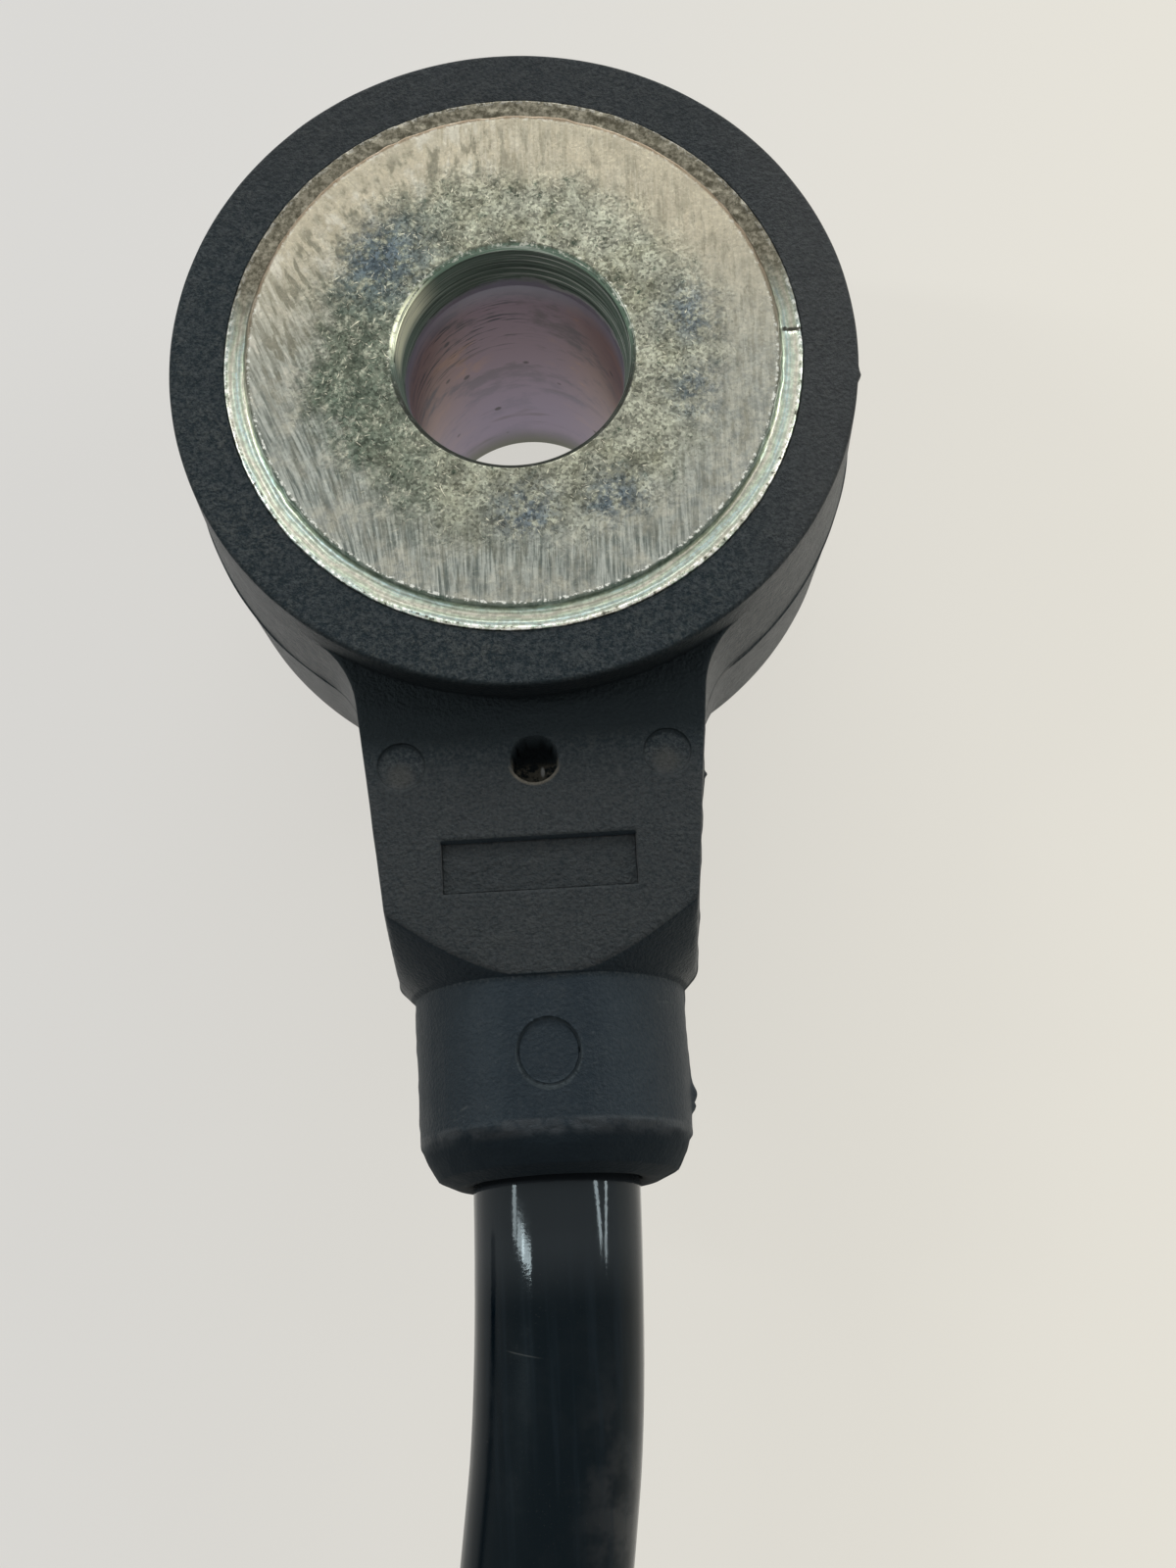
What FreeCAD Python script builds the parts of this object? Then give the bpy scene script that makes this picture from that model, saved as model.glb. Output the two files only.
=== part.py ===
import FreeCAD, Part
import math
import os

import Sketcher

# Engine knock sensor with a fixed lead, in millimetres.
# The frame: +Z runs along the bolt hole from the bolt-head side, at zero, to the contact face that
# is clamped on the engine block. The neck and the lead point towards -Y.
# A steel sleeve carries the stack that senses the vibration: piezo ring, contact washers, insulating
# discs and seismic mass, clamped by a disc spring and a ring nut. A plastic housing is moulded over it.

Vector = FreeCAD.Vector

SIZES = [
    # steel sleeve
    ("bore_radius", 4.2, "bolt hole"),
    ("entry_radius", 4.45, "wider mouth of the bolt hole at the contact face"),
    ("entry_depth", 1.75, "depth of the wider mouth"),
    ("entry_chamfer", 0.25, "chamfer at the mouth"),
    ("exit_chamfer", 0.45, "chamfer at the bolt-head end"),
    ("sleeve_height", 18.0, "from the bolt-head face to the contact face"),
    ("sleeve_radius", 6.5, "outside of the tube"),
    ("flange_radius", 11.0, "outside of the contact flange"),
    ("flange_thickness", 2.6, "contact flange"),
    ("face_radius", 10.15, "raised contact face inside the turned rim"),
    ("rim_step", 0.25, "how far the turned rim lies under the contact face"),
    ("rim_slope", 0.1, "how far the side of the contact face slopes out to the rim"),
    ("grip_depth", 0.5, "depth of the grooves that the plastic grips"),
    ("grip_width", 0.6, "width of those grooves"),
    ("flange_grip_drop", 1.1, "from the contact face to the groove in the flange"),
    ("foot_grip_height", 1.8, "from the bolt-head face to the groove in the tube"),
    # sensing stack, from the flange down
    ("liner_wall", 0.4, "insulating sleeve between tube and stack"),
    ("insulator_radius", 9.9, "insulating discs"),
    ("insulator_thickness", 0.4, "insulating discs"),
    ("contact_radius", 9.3, "contact washers"),
    ("contact_thickness", 0.35, "contact washers"),
    ("piezo_radius", 9.6, "piezo ring"),
    ("piezo_thickness", 3.0, "piezo ring"),
    ("mass_radius", 9.8, "seismic mass"),
    ("mass_thickness", 3.4, "seismic mass"),
    ("spring_radius", 9.0, "disc spring"),
    ("spring_clearance", 0.4, "between the tube and the disc spring"),
    ("spring_thickness", 0.6, "sheet of the disc spring"),
    ("spring_cone", 0.4, "rise of the disc spring's cone under load"),
    ("nut_radius", 9.0, "ring nut"),
    ("nut_thickness", 2.5, "ring nut"),
    ("slot_width", 2.2, "spanner slots of the ring nut"),
    ("slot_depth", 1.1, "spanner slots of the ring nut"),
    ("cut_overrun", 1.0, "how far a cutting shape stands out of the face that it cuts"),
    # wiring in the neck
    ("tab_width", 1.6, "tabs of the contact washers"),
    ("tab_clearance", 2.0, "from the piezo ring to the bend of the upper tab"),
    ("tab_foot", 1.8, "level end of the upper tab, where its splice begins"),
    ("splice_radius", 1.25, "crimped splices"),
    ("splice_length", 4.6, "crimped splices"),
    ("core_radius", 0.95, "insulated cores of the lead"),
    ("core_offset", 1.7, "from the neck's middle plane to each core"),
    # moulded housing
    ("housing_radius", 13.1, "round body at the contact side"),
    ("ring_drop", 0.33, "plastic face under the contact face"),
    ("parting_height", 11.3, "mould parting plane above the bolt-head face"),
    ("parting_radius", 13.2, "round body at the parting plane"),
    ("body_bottom", 5.0, "underside of the round body"),
    ("bottom_radius", 12.85, "round body at its underside"),
    ("body_edge", 0.3, "bevel on the round body's edges"),
    ("collar_radius", 10.3, "collar under the round body"),
    ("collar_draft", 0.3, "how much the collar narrows to its foot"),
    ("collar_bottom", 0.8, "foot of the collar"),
    ("neck_start", 14.5, "distance from the bore axis where the neck's width is measured"),
    ("neck_root_width", 12.9, "neck at that distance"),
    ("neck_end_width", 11.1, "neck where the round outlet begins"),
    ("neck_end", 23.5, "from the bore axis to the round outlet"),
    ("neck_half_height", 4.95, "from the parting plane to the neck's flat face"),
    ("neck_draft", 1.0, "draft angle of the neck's sides, in degrees"),
    ("neck_round", 0.35, "rounding along the neck's long edges"),
    ("neck_fillet", 3.6, "hollow rounding from the neck to the round body"),
    ("outlet_radius", 5.06, "round cable outlet"),
    ("outlet_flat", 4.8, "from the outlet's axis to its flats"),
    ("outlet_end", 30.5, "from the bore axis to the end of the outlet"),
    ("outlet_shoulder", 1.7, "length of the outlet's bevelled end"),
    ("outlet_band", 0.75, "length of the first, shallow bevel"),
    ("outlet_band_rise", 0.3, "depth of the first, shallow bevel"),
    ("outlet_tip_radius", 3.75, "end face of the outlet"),
    ("outlet_tip_round", 0.3, "length of the last bevel at the outlet's end face"),
    ("mark_radius", 0.875, "round ejector marks beside the neck's hole"),
    ("mark_depth", 0.12, "ejector marks"),
    ("mark_offset", 4.9, "from the neck's middle plane to the ejector marks"),
    ("mark_distance", 15.5, "from the bore axis to the marks and the hole"),
    ("pin_hole_radius", 0.9, "core-pin hole between the marks"),
    ("pin_hole_depth", 1.4, "core-pin hole"),
    ("panel_width", 7.1, "bare sunk panel on the neck"),
    ("panel_length", 1.8, "bare sunk panel on the neck"),
    ("panel_depth", 0.2, "bare sunk panel on the neck"),
    ("panel_distance", 19.45, "from the bore axis to the middle of the panel"),
    ("outlet_mark_radius", 1.2, "ejector mark on the outlet's flat"),
    ("outlet_mark_distance", 26.3, "from the bore axis to that mark"),
    # lead
    ("cable_radius", 3.1, "outside of the lead"),
    # plug at the end of the lead
    ("plug_width", 17.0, "plug across"),
    ("plug_height", 9.4, "plug from its lower to its upper face"),
    ("plug_corner", 2.2, "rounded long edges of the plug"),
    ("plug_wall", 1.4, "walls of the shroud and of the rear cap"),
    ("cap_length", 8.0, "inside of the rear cap"),
    ("cap_collar_length", 3.5, "collar round the lead"),
    ("cap_collar_radius", 4.5, "collar round the lead"),
    ("block_length", 11.0, "solid part of the plug that holds the terminals"),
    ("shroud_depth", 9.5, "open shroud round the blades"),
    ("terminal_pitch", 4.2, "between the terminals"),
    ("cavity_radius", 1.6, "seal cavities"),
    ("seal_length", 3.4, "wire seals"),
    ("barrel_radius", 1.15, "crimp barrels of the terminals"),
    ("barrel_length", 4.6, "crimp barrels of the terminals"),
    ("blade_width", 1.5, "terminal blades"),
    ("blade_thickness", 0.64, "terminal blades"),
    ("blade_recess", 2.0, "from the shroud's mouth back to the tips of the blades"),
    ("plug_core_pitch", 2.0, "between the cores where they leave the lead"),
    ("plug_core_straight", 2.4, "straight length of the cores at each end of the rear cap"),
    ("lock_width", 12.2, "secondary lock"),
    ("lock_thickness", 1.4, "secondary lock"),
    ("lock_distance", 9.0, "from the rear of the block to the middle of the secondary lock"),
    ("ramp_width", 4.0, "latch ramp"),
    ("ramp_length", 3.2, "latch ramp"),
    ("ramp_height", 1.1, "latch ramp"),
    ("ramp_top", 0.8, "level top of the latch ramp"),
    ("ramp_setback", 1.5, "from the shroud's mouth to the latch ramp"),
    ("rib_width", 1.2, "side ribs of the plug"),
    ("rib_height", 2.4, "side ribs of the plug"),
]

# The lead's route, chosen by hand: straight out of the housing, down to the surface that the sensor
# stands on, and round in one wide bend to the plug.
LEAD_ROUTE = [
    (0.0, -22.0, 11.3),
    (0.0, -36.0, 11.3),
    (-1.8, -46.5, 10.9),
    (-3.4, -58.0, 8.8),
    (-4.6, -70.0, 5.9),
    (-5.6, -81.0, 3.9),
    (-8.0, -91.5, 3.1),
    (-14.2, -100.3, 3.1),
    (-23.3, -106.2, 3.1),
    (-33.9, -108.3, 3.1),
    (-44.5, -106.2, 3.1),
    (-53.6, -100.3, 3.1),
    (-59.8, -91.5, 3.1),
    (-62.8, -81.0, 3.1),
    (-62.8, -70.0, 3.1),
    (-62.8, -60.0, 4.7),
    (-62.8, -50.5, 4.7),
]
ARC_SHARE = 0.48  # of the shorter run at each turn of a route


doc = FreeCAD.newDocument("knock_sensor")
sheet = doc.addObject("Spreadsheet::Sheet", "Sizes")
for row, (alias, value, note) in enumerate(SIZES, start=1):
    sheet.set(f"A{row}", alias)
    sheet.set(f"B{row}", str(value))
    sheet.setAlias(f"B{row}", alias)
    sheet.set(f"C{row}", note)
doc.recompute()


def size(alias):
    """The value of a named size."""
    return float(getattr(sheet, alias))


def bind(thing, **expressions):
    """Ties properties of an object to expressions on the sheet."""
    for name, expression in expressions.items():
        thing.setExpression(name, expression)
    return thing


def place(thing, x="0", y="0", z="0"):
    """Ties an object's place to expressions on the sheet."""
    thing.setExpression("Placement.Base.x", x)
    thing.setExpression("Placement.Base.y", y)
    thing.setExpression("Placement.Base.z", z)
    return thing


def outline(body, name, role, corners):
    """A closed sketch on one of the body's origin planes, each corner tied to two expressions."""
    sketch = body.newObject("Sketcher::SketchObject", name)
    plane = next(feature for feature in body.Origin.OriginFeatures if feature.Role == role)
    sketch.AttachmentSupport = (plane, [""])
    sketch.MapMode = "FlatFace"
    count = len(corners)
    spots = [
        Vector(20 + 10 * math.cos(2 * math.pi * k / count), 20 + 10 * math.sin(2 * math.pi * k / count), 0)
        for k in range(count)
    ]
    for k in range(count):
        sketch.addGeometry(Part.LineSegment(spots[k], spots[(k + 1) % count]), False)
    for k in range(count):
        sketch.addConstraint(Sketcher.Constraint("Coincident", k, 2, (k + 1) % count, 1))
    for k, (across, along) in enumerate(corners):
        first = sketch.addConstraint(Sketcher.Constraint("DistanceX", -1, 1, k, 1, spots[k].x))
        second = sketch.addConstraint(Sketcher.Constraint("DistanceY", -1, 1, k, 1, spots[k].y))
        sketch.setExpression(f"Constraints[{first}]", across)
        sketch.setExpression(f"Constraints[{second}]", along)
    return sketch


def turned(label, role, corners):
    """A turned piece: a closed half-section on an origin plane, revolved about the sketch's upright axis."""
    body = doc.addObject("PartDesign::Body", label)
    body.Label = label
    sketch = outline(body, label + "_section", role, corners)
    turn = body.newObject("PartDesign::Revolution", label + "_turn")
    turn.Profile = sketch
    turn.ReferenceAxis = (sketch, ["V_Axis"])
    turn.Angle = 360
    body.Tip = turn
    return body


def ring(label, inner, outer, bottom, height):
    """A plain ring about the bore, from its lower face up."""
    top = f"{bottom} + {height}"
    return turned(label, "XZ_Plane", [(inner, bottom), (outer, bottom), (outer, top), (inner, top)])


def cylinder(label, radius, height):
    return bind(doc.addObject("Part::Cylinder", label), Radius=radius, Height=height)


def along_neck(thing, x, distance, z):
    """Lays a cylinder or cone along the neck, from the given distance from the bore axis outwards."""
    thing.Placement = FreeCAD.Placement(Vector(0, 0, 0), FreeCAD.Rotation(Vector(1, 0, 0), 90))
    return place(thing, x, f"-({distance})", z)


def block(label, width, length, height):
    return bind(doc.addObject("Part::Box", label), Length=width, Width=length, Height=height)


def fused(label, pieces):
    thing = doc.addObject("Part::MultiFuse", label)
    thing.Shapes = pieces
    return thing


def cut(label, base, tool):
    thing = doc.addObject("Part::Cut", label)
    thing.Base = base
    thing.Tool = tool
    return thing


def common(label, base, tool):
    thing = doc.addObject("Part::Common", label)
    thing.Base = base
    thing.Tool = tool
    return thing


FLANGE_UNDER = "(Sizes.sleeve_height - Sizes.flange_thickness)"


def grooved_side(radius, low, depth):
    """Four corners of a groove in a turned side, from below up."""
    high = f"{low} + Sizes.grip_width"
    return [(radius, low), (f"{radius} - {depth}", low), (f"{radius} - {depth}", high), (radius, high)]


def pressure_sleeve():
    """The turned steel sleeve: tube, contact flange, gripping grooves and chamfered bolt hole."""
    rim = "Sizes.sleeve_height - Sizes.rim_step"
    corners = [("Sizes.bore_radius + Sizes.exit_chamfer", "0"), ("Sizes.sleeve_radius", "0")]
    corners += grooved_side("Sizes.sleeve_radius", "Sizes.foot_grip_height", "Sizes.grip_depth")
    corners += [("Sizes.sleeve_radius", FLANGE_UNDER), ("Sizes.flange_radius", FLANGE_UNDER)]
    groove = "Sizes.sleeve_height - Sizes.flange_grip_drop - Sizes.grip_width"
    corners += grooved_side("Sizes.flange_radius", f"({groove})", "Sizes.grip_depth")
    corners += [
        ("Sizes.flange_radius", rim),
        ("Sizes.face_radius + Sizes.rim_slope", rim),
        ("Sizes.face_radius", "Sizes.sleeve_height"),
        ("Sizes.entry_radius + Sizes.entry_chamfer", "Sizes.sleeve_height"),
        ("Sizes.entry_radius", "Sizes.sleeve_height - Sizes.entry_chamfer"),
        ("Sizes.entry_radius", "Sizes.sleeve_height - Sizes.entry_depth"),
        (
            "Sizes.bore_radius",
            "Sizes.sleeve_height - Sizes.entry_depth - Sizes.entry_radius + Sizes.bore_radius",
        ),
        ("Sizes.bore_radius", "Sizes.exit_chamfer"),
    ]
    return turned("pressure_sleeve", "XZ_Plane", corners)


# Lower faces of the stacked rings, from the flange down.
UPPER_INSULATOR = f"({FLANGE_UNDER} - Sizes.insulator_thickness)"
UPPER_CONTACT = f"({UPPER_INSULATOR} - Sizes.contact_thickness)"
PIEZO = f"({UPPER_CONTACT} - Sizes.piezo_thickness)"
LOWER_CONTACT = f"({PIEZO} - Sizes.contact_thickness)"
LOWER_INSULATOR = f"({LOWER_CONTACT} - Sizes.insulator_thickness)"
MASS = f"({LOWER_INSULATOR} - Sizes.mass_thickness)"
SPRING = f"({MASS} - Sizes.spring_thickness - Sizes.spring_cone)"
NUT = f"({SPRING} - Sizes.nut_thickness)"
LINER_RADIUS = "(Sizes.sleeve_radius + Sizes.liner_wall)"
TAB_LEVEL = f"({LOWER_CONTACT} + Sizes.contact_thickness / 2)"
TAB_BEND = "(Sizes.piezo_radius + Sizes.tab_clearance)"
TAB_REACH = f"({TAB_BEND} + Sizes.tab_foot)"


def insulating_sleeve():
    return ring("insulating_sleeve", "Sizes.sleeve_radius", LINER_RADIUS, MASS, f"({FLANGE_UNDER} - {MASS})")


def contact_washer(label, level, side):
    """A contact washer with its tab, which ends beside the other one at the lower washer's level."""
    washer = ring(label + "_ring", LINER_RADIUS, "Sizes.contact_radius", level, "Sizes.contact_thickness")
    middle = f"{side} * Sizes.core_offset"
    left = f"{middle} - Sizes.tab_width / 2"
    strips = []
    if level == LOWER_CONTACT:
        reach = TAB_REACH
    else:
        reach = TAB_BEND
        height = f"{level} - {LOWER_CONTACT}"
        drop = block(label + "_drop", "Sizes.tab_width", "Sizes.contact_thickness", height)
        place(drop, left, f"-{TAB_BEND}", LOWER_CONTACT)
        foot = block(label + "_foot", "Sizes.tab_width", "Sizes.tab_foot", "Sizes.contact_thickness")
        place(foot, left, f"-{TAB_REACH}", LOWER_CONTACT)
        strips += [drop, foot]
    root = "(Sizes.contact_radius - Sizes.tab_width)"
    strip = block(label + "_strip", "Sizes.tab_width", f"{reach} - {root}", "Sizes.contact_thickness")
    place(strip, left, f"-{reach}", level)
    whole = fused(label, [washer, strip] + strips)
    whole.Label = label
    return whole


def disc_spring():
    inner = f"{LINER_RADIUS} + Sizes.spring_clearance"
    corners = [
        (inner, SPRING),
        ("Sizes.spring_radius", f"{SPRING} + Sizes.spring_cone"),
        ("Sizes.spring_radius", MASS),
        (inner, f"{SPRING} + Sizes.spring_thickness"),
    ]
    return turned("disc_spring", "XZ_Plane", corners)


def ring_nut():
    """The ring nut with four spanner slots in its lower face."""
    nut = ring("ring_nut_blank", "Sizes.sleeve_radius", "Sizes.nut_radius", NUT, "Sizes.nut_thickness")
    slots = []
    reach = "(Sizes.nut_radius + Sizes.cut_overrun)"
    for k in range(2):
        slots.append(block(f"ring_nut_slot_{k + 1}", f"2 * {reach}", "Sizes.slot_width", "Sizes.slot_depth"))
    place(slots[0], f"-{reach}", "-Sizes.slot_width / 2", NUT)
    slots[1].Placement = FreeCAD.Placement(Vector(0, 0, 0), FreeCAD.Rotation(Vector(0, 0, 1), 90))
    place(slots[1], "Sizes.slot_width / 2", f"-{reach}", NUT)
    whole = cut("ring_nut", nut, fused("ring_nut_slots", slots))
    whole.Label = "ring_nut"
    return whole


def crimp_splice(label, side):
    splice = cylinder(label, "Sizes.splice_radius", "Sizes.splice_length")
    return along_neck(splice, f"{side} * Sizes.core_offset", TAB_REACH, TAB_LEVEL)


def core_lead(label, side):
    """A core between its splice and the end of the lead, which is moulded into the outlet."""
    start = f"({TAB_REACH} + Sizes.splice_length)"
    lead = cylinder(label, "Sizes.core_radius", f"{-LEAD_ROUTE[0][1]} - {start}")
    return along_neck(lead, f"{side} * Sizes.core_offset", start, TAB_LEVEL)


def neck_outline():
    """The neck's outline at the parting plane, with a hollow rounding to the round body on each side."""
    radius = size("parting_radius")
    hollow = size("neck_fillet")
    start = Vector(size("neck_root_width") / 2, -size("neck_start"), 0)
    end = Vector(size("neck_end_width") / 2, -size("neck_end"), 0)
    along = (end - start).normalize()
    outward = Vector(-along.y, along.x, 0)
    base = start + outward * hollow
    half = base.dot(along)
    step = math.sqrt(half**2 - base.dot(base) + (radius + hollow) ** 2) - half
    centre = base + along * step
    on_side = centre - outward * hollow
    on_body = centre * (radius / (radius + hollow))
    middle = centre + ((on_side + on_body) * 0.5 - centre).normalize() * hollow
    beyond = end + along

    def mirrored(point):
        return Vector(-point.x, point.y, 0)

    edges = [
        Part.LineSegment(mirrored(on_body), on_body).toShape(),
        Part.Arc(on_body, middle, on_side).toShape(),
        Part.LineSegment(on_side, beyond).toShape(),
        Part.LineSegment(beyond, mirrored(beyond)).toShape(),
        Part.LineSegment(mirrored(beyond), mirrored(on_side)).toShape(),
        Part.Arc(mirrored(on_side), mirrored(middle), mirrored(on_body)).toShape(),
    ]
    feature = doc.addObject("Part::Feature", "neck_outline")
    feature.Shape = Part.Wire(edges)
    return place(feature, z="Sizes.parting_height")


def neck():
    """The flat neck: drafted both ways from the parting plane, and bevelled all round to the outlet."""
    slab = doc.addObject("Part::Extrusion", "neck_slab")
    slab.Base = neck_outline()
    slab.DirMode = "Custom"
    slab.Dir = Vector(0, 0, 1)
    slab.Solid = True
    bind(
        slab,
        LengthFwd="Sizes.neck_half_height",
        LengthRev="Sizes.neck_half_height",
        TaperAngle="-Sizes.neck_draft",
        TaperAngleRev="-Sizes.neck_draft",
    )
    doc.recompute()
    levels = [size("parting_height") + k * size("neck_half_height") for k in (-1, 1)]
    long_edges = []
    for number, edge in enumerate(slab.Shape.Edges, start=1):
        box = edge.BoundBox
        flat = box.ZLength < 1e-6 and min(abs(box.ZMin - level) for level in levels) < 1e-6
        if flat and abs(box.Center.x) > 1:
            long_edges.append((number, size("neck_round"), size("neck_round")))
    rounded = doc.addObject("Part::Fillet", "neck_rounded")
    rounded.Base = slab
    rounded.Edges = long_edges
    length = f"(Sizes.neck_end - Sizes.contact_radius)"
    bevel = bind(
        doc.addObject("Part::Cone", "neck_bevel"),
        Radius1=f"Sizes.outlet_radius + {length}",
        Radius2="Sizes.outlet_radius",
        Height=length,
    )
    along_neck(bevel, "0", "Sizes.contact_radius", "Sizes.parting_height")
    return common("neck", rounded, bevel)


def round_body():
    """The round body and its collar, as one turned form with a slight draft from the parting plane."""
    face = "Sizes.sleeve_height - Sizes.ring_drop"
    corners = [
        ("0", "Sizes.collar_bottom"),
        ("Sizes.collar_radius - Sizes.collar_draft - Sizes.body_edge", "Sizes.collar_bottom"),
        ("Sizes.collar_radius - Sizes.collar_draft", "Sizes.collar_bottom + Sizes.body_edge"),
        ("Sizes.collar_radius", "Sizes.body_bottom"),
        ("Sizes.bottom_radius - Sizes.body_edge", "Sizes.body_bottom"),
        ("Sizes.bottom_radius", "Sizes.body_bottom + Sizes.body_edge"),
        ("Sizes.parting_radius", "Sizes.parting_height"),
        ("Sizes.housing_radius", f"{face} - Sizes.body_edge"),
        ("Sizes.housing_radius - Sizes.body_edge", face),
        ("0", face),
    ]
    return turned("round_body", "XZ_Plane", corners)


def outlet():
    """The round cable outlet, with a flat above and below and a bevelled end."""
    shoulder = "Sizes.outlet_end - Sizes.outlet_shoulder"
    tube = turned(
        "outlet_round",
        "XY_Plane",
        [
            ("0", "-Sizes.neck_end"),
            ("Sizes.outlet_radius", "-Sizes.neck_end"),
            ("Sizes.outlet_radius", f"-({shoulder})"),
            ("Sizes.outlet_radius - Sizes.outlet_band_rise", f"-({shoulder} + Sizes.outlet_band)"),
            (
                "(Sizes.outlet_radius + Sizes.outlet_tip_radius) / 2",
                "-(Sizes.outlet_end - Sizes.outlet_tip_round)",
            ),
            ("Sizes.outlet_tip_radius", "-Sizes.outlet_end"),
            ("0", "-Sizes.outlet_end"),
        ],
    )
    place(tube, z="Sizes.parting_height")
    slab = block(
        "outlet_slab",
        "2 * Sizes.outlet_radius",
        "Sizes.outlet_end - Sizes.neck_end",
        "2 * Sizes.outlet_flat",
    )
    place(slab, "-Sizes.outlet_radius", "-Sizes.outlet_end", "Sizes.parting_height - Sizes.outlet_flat")
    return common("outlet", tube, slab)


def surface_cuts():
    """Marks, hole and bare panel sunk into the neck and the outlet."""
    top = "(Sizes.parting_height + Sizes.neck_half_height)"
    cuts = []
    for side, label in ((-1, "left_mark"), (1, "right_mark")):
        mark = cylinder(label, "Sizes.mark_radius", "Sizes.cut_overrun")
        place(mark, f"{side} * Sizes.mark_offset", "-Sizes.mark_distance", f"{top} - Sizes.mark_depth")
        cuts.append(mark)
    hole = cylinder("pin_hole", "Sizes.pin_hole_radius", "Sizes.pin_hole_depth + Sizes.cut_overrun")
    cuts.append(place(hole, "0", "-Sizes.mark_distance", f"{top} - Sizes.pin_hole_depth"))
    panel = block("panel", "Sizes.panel_width", "Sizes.panel_length", "Sizes.cut_overrun")
    cuts.append(
        place(
            panel,
            "-Sizes.panel_width / 2",
            "-Sizes.panel_distance - Sizes.panel_length / 2",
            f"{top} - Sizes.panel_depth",
        )
    )
    mark = cylinder("outlet_mark", "Sizes.outlet_mark_radius", "Sizes.cut_overrun")
    level = "Sizes.parting_height + Sizes.outlet_flat - Sizes.mark_depth"
    cuts.append(place(mark, "0", "-Sizes.outlet_mark_distance", level))
    return cuts


def stack_space():
    """The room that the sensing stack takes inside the moulding, one step for each ring."""
    steps = [
        (UPPER_INSULATOR, "Sizes.insulator_radius"),
        (UPPER_CONTACT, "Sizes.contact_radius"),
        (PIEZO, "Sizes.piezo_radius"),
        (LOWER_CONTACT, "Sizes.contact_radius"),
        (LOWER_INSULATOR, "Sizes.insulator_radius"),
        (MASS, "Sizes.mass_radius"),
        (SPRING, "Sizes.spring_radius"),
        (NUT, "Sizes.nut_radius"),
    ]
    corners = []
    top = FLANGE_UNDER
    for low, radius in steps:
        corners += [(radius, top), (radius, low)]
        top = low
    corners += [("0", top), ("0", FLANGE_UNDER)]
    return turned("stack_space", "XZ_Plane", corners)


def sensor_housing(inside, cable):
    """The plastic moulding round the sleeve, the stack, the splices and the end of the lead."""
    solid = fused("housing_solid", [round_body(), neck(), outlet()])
    tube_space = cylinder("tube_space", "Sizes.sleeve_radius", "Sizes.sleeve_height")
    room = fused("housing_room", surface_cuts() + [stack_space(), tube_space] + inside)
    shell = cut("housing_shell", solid, room)
    return cut("sensor_housing", shell, cable)


def route_wire(points, show):
    """Straight runs joined by tangent arcs through a route's points, and the arcs' radii."""
    points = [Vector(*point) for point in points]
    edges = []
    radii = []
    start = points[0]
    for before, corner, after in zip(points, points[1:], points[2:]):
        back = before - corner
        ahead = after - corner
        reach = ARC_SHARE * min(back.Length, ahead.Length)
        back.normalize()
        ahead.normalize()
        half_turn = (math.pi - back.getAngle(ahead)) / 2
        radius = reach / math.tan(half_turn)
        first = corner + back * reach
        last = corner + ahead * reach
        inward = (back + ahead).normalize()
        middle = corner + inward * (radius / math.cos(half_turn) - radius)
        edges.append(Part.LineSegment(start, first).toShape())
        edges.append(Part.Arc(first, middle, last).toShape())
        radii.append(radius)
        start = last
    edges.append(Part.LineSegment(start, points[-1]).toShape())
    if show:
        print(show, "arc radii:", [round(radius, 1) for radius in radii])
    return Part.Wire(edges)


def tube_along(label, points, radius, show=""):
    """A round cord along a route, as one solid."""
    path = route_wire(points, show)
    heading = Vector(*points[1]) - Vector(*points[0])
    circle = Part.Wire([Part.makeCircle(radius, Vector(*points[0]), heading)])
    feature = doc.addObject("Part::Feature", label)
    feature.Shape = path.makePipeShell([circle], True, False)
    expected = math.pi * radius**2 * path.Length
    if abs(feature.Shape.Volume / expected - 1) > 0.01:
        raise ValueError(f"{label}: volume {feature.Shape.Volume:.1f}, expected {expected:.1f}")
    if show:
        print(show, "length", round(path.Length, 1), "volume", round(feature.Shape.Volume, 1))
    return feature


# The plug's own frame: the end of the lead is its origin, and +Y is the mating direction.
PLUG_PLACE = Vector(*LEAD_ROUTE[-1])
BLOCK_START = "Sizes.cap_length"
SHROUD_START = "(Sizes.cap_length + Sizes.block_length)"


def rounded_block(label, width, height, corner, start, length):
    """A block along the plug's axis with rounded long edges, in the plug's own frame."""
    blank = block(label + "_blank", width, length, height)
    place(blank, f"-({width}) / 2", start, f"-({height}) / 2")
    doc.recompute()
    edges = []
    for number, edge in enumerate(blank.Shape.Edges, start=1):
        box = edge.BoundBox
        if box.YLength > 1e-6 and box.XLength < 1e-6 and box.ZLength < 1e-6:
            edges.append((number, corner, corner))
    rounded = doc.addObject("Part::Fillet", label)
    rounded.Base = blank
    rounded.Edges = edges
    return rounded


def plug_cylinder(label, radius, start, length, x="0"):
    """A cylinder along the plug's axis, in the plug's own frame."""
    thing = cylinder(label, radius, length)
    thing.Placement = FreeCAD.Placement(Vector(0, 0, 0), FreeCAD.Rotation(Vector(1, 0, 0), -90))
    return place(thing, x, start, "0")


def moved_copy(label, source):
    """A finished piece of the plug, moved from the plug's own frame to its place on the lead."""
    doc.recompute()
    feature = doc.addObject("Part::Feature", label)
    feature.Shape = source.Shape.copy()
    feature.Placement = FreeCAD.Placement(PLUG_PLACE, FreeCAD.Rotation()).multiply(feature.Placement)
    return feature


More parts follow.
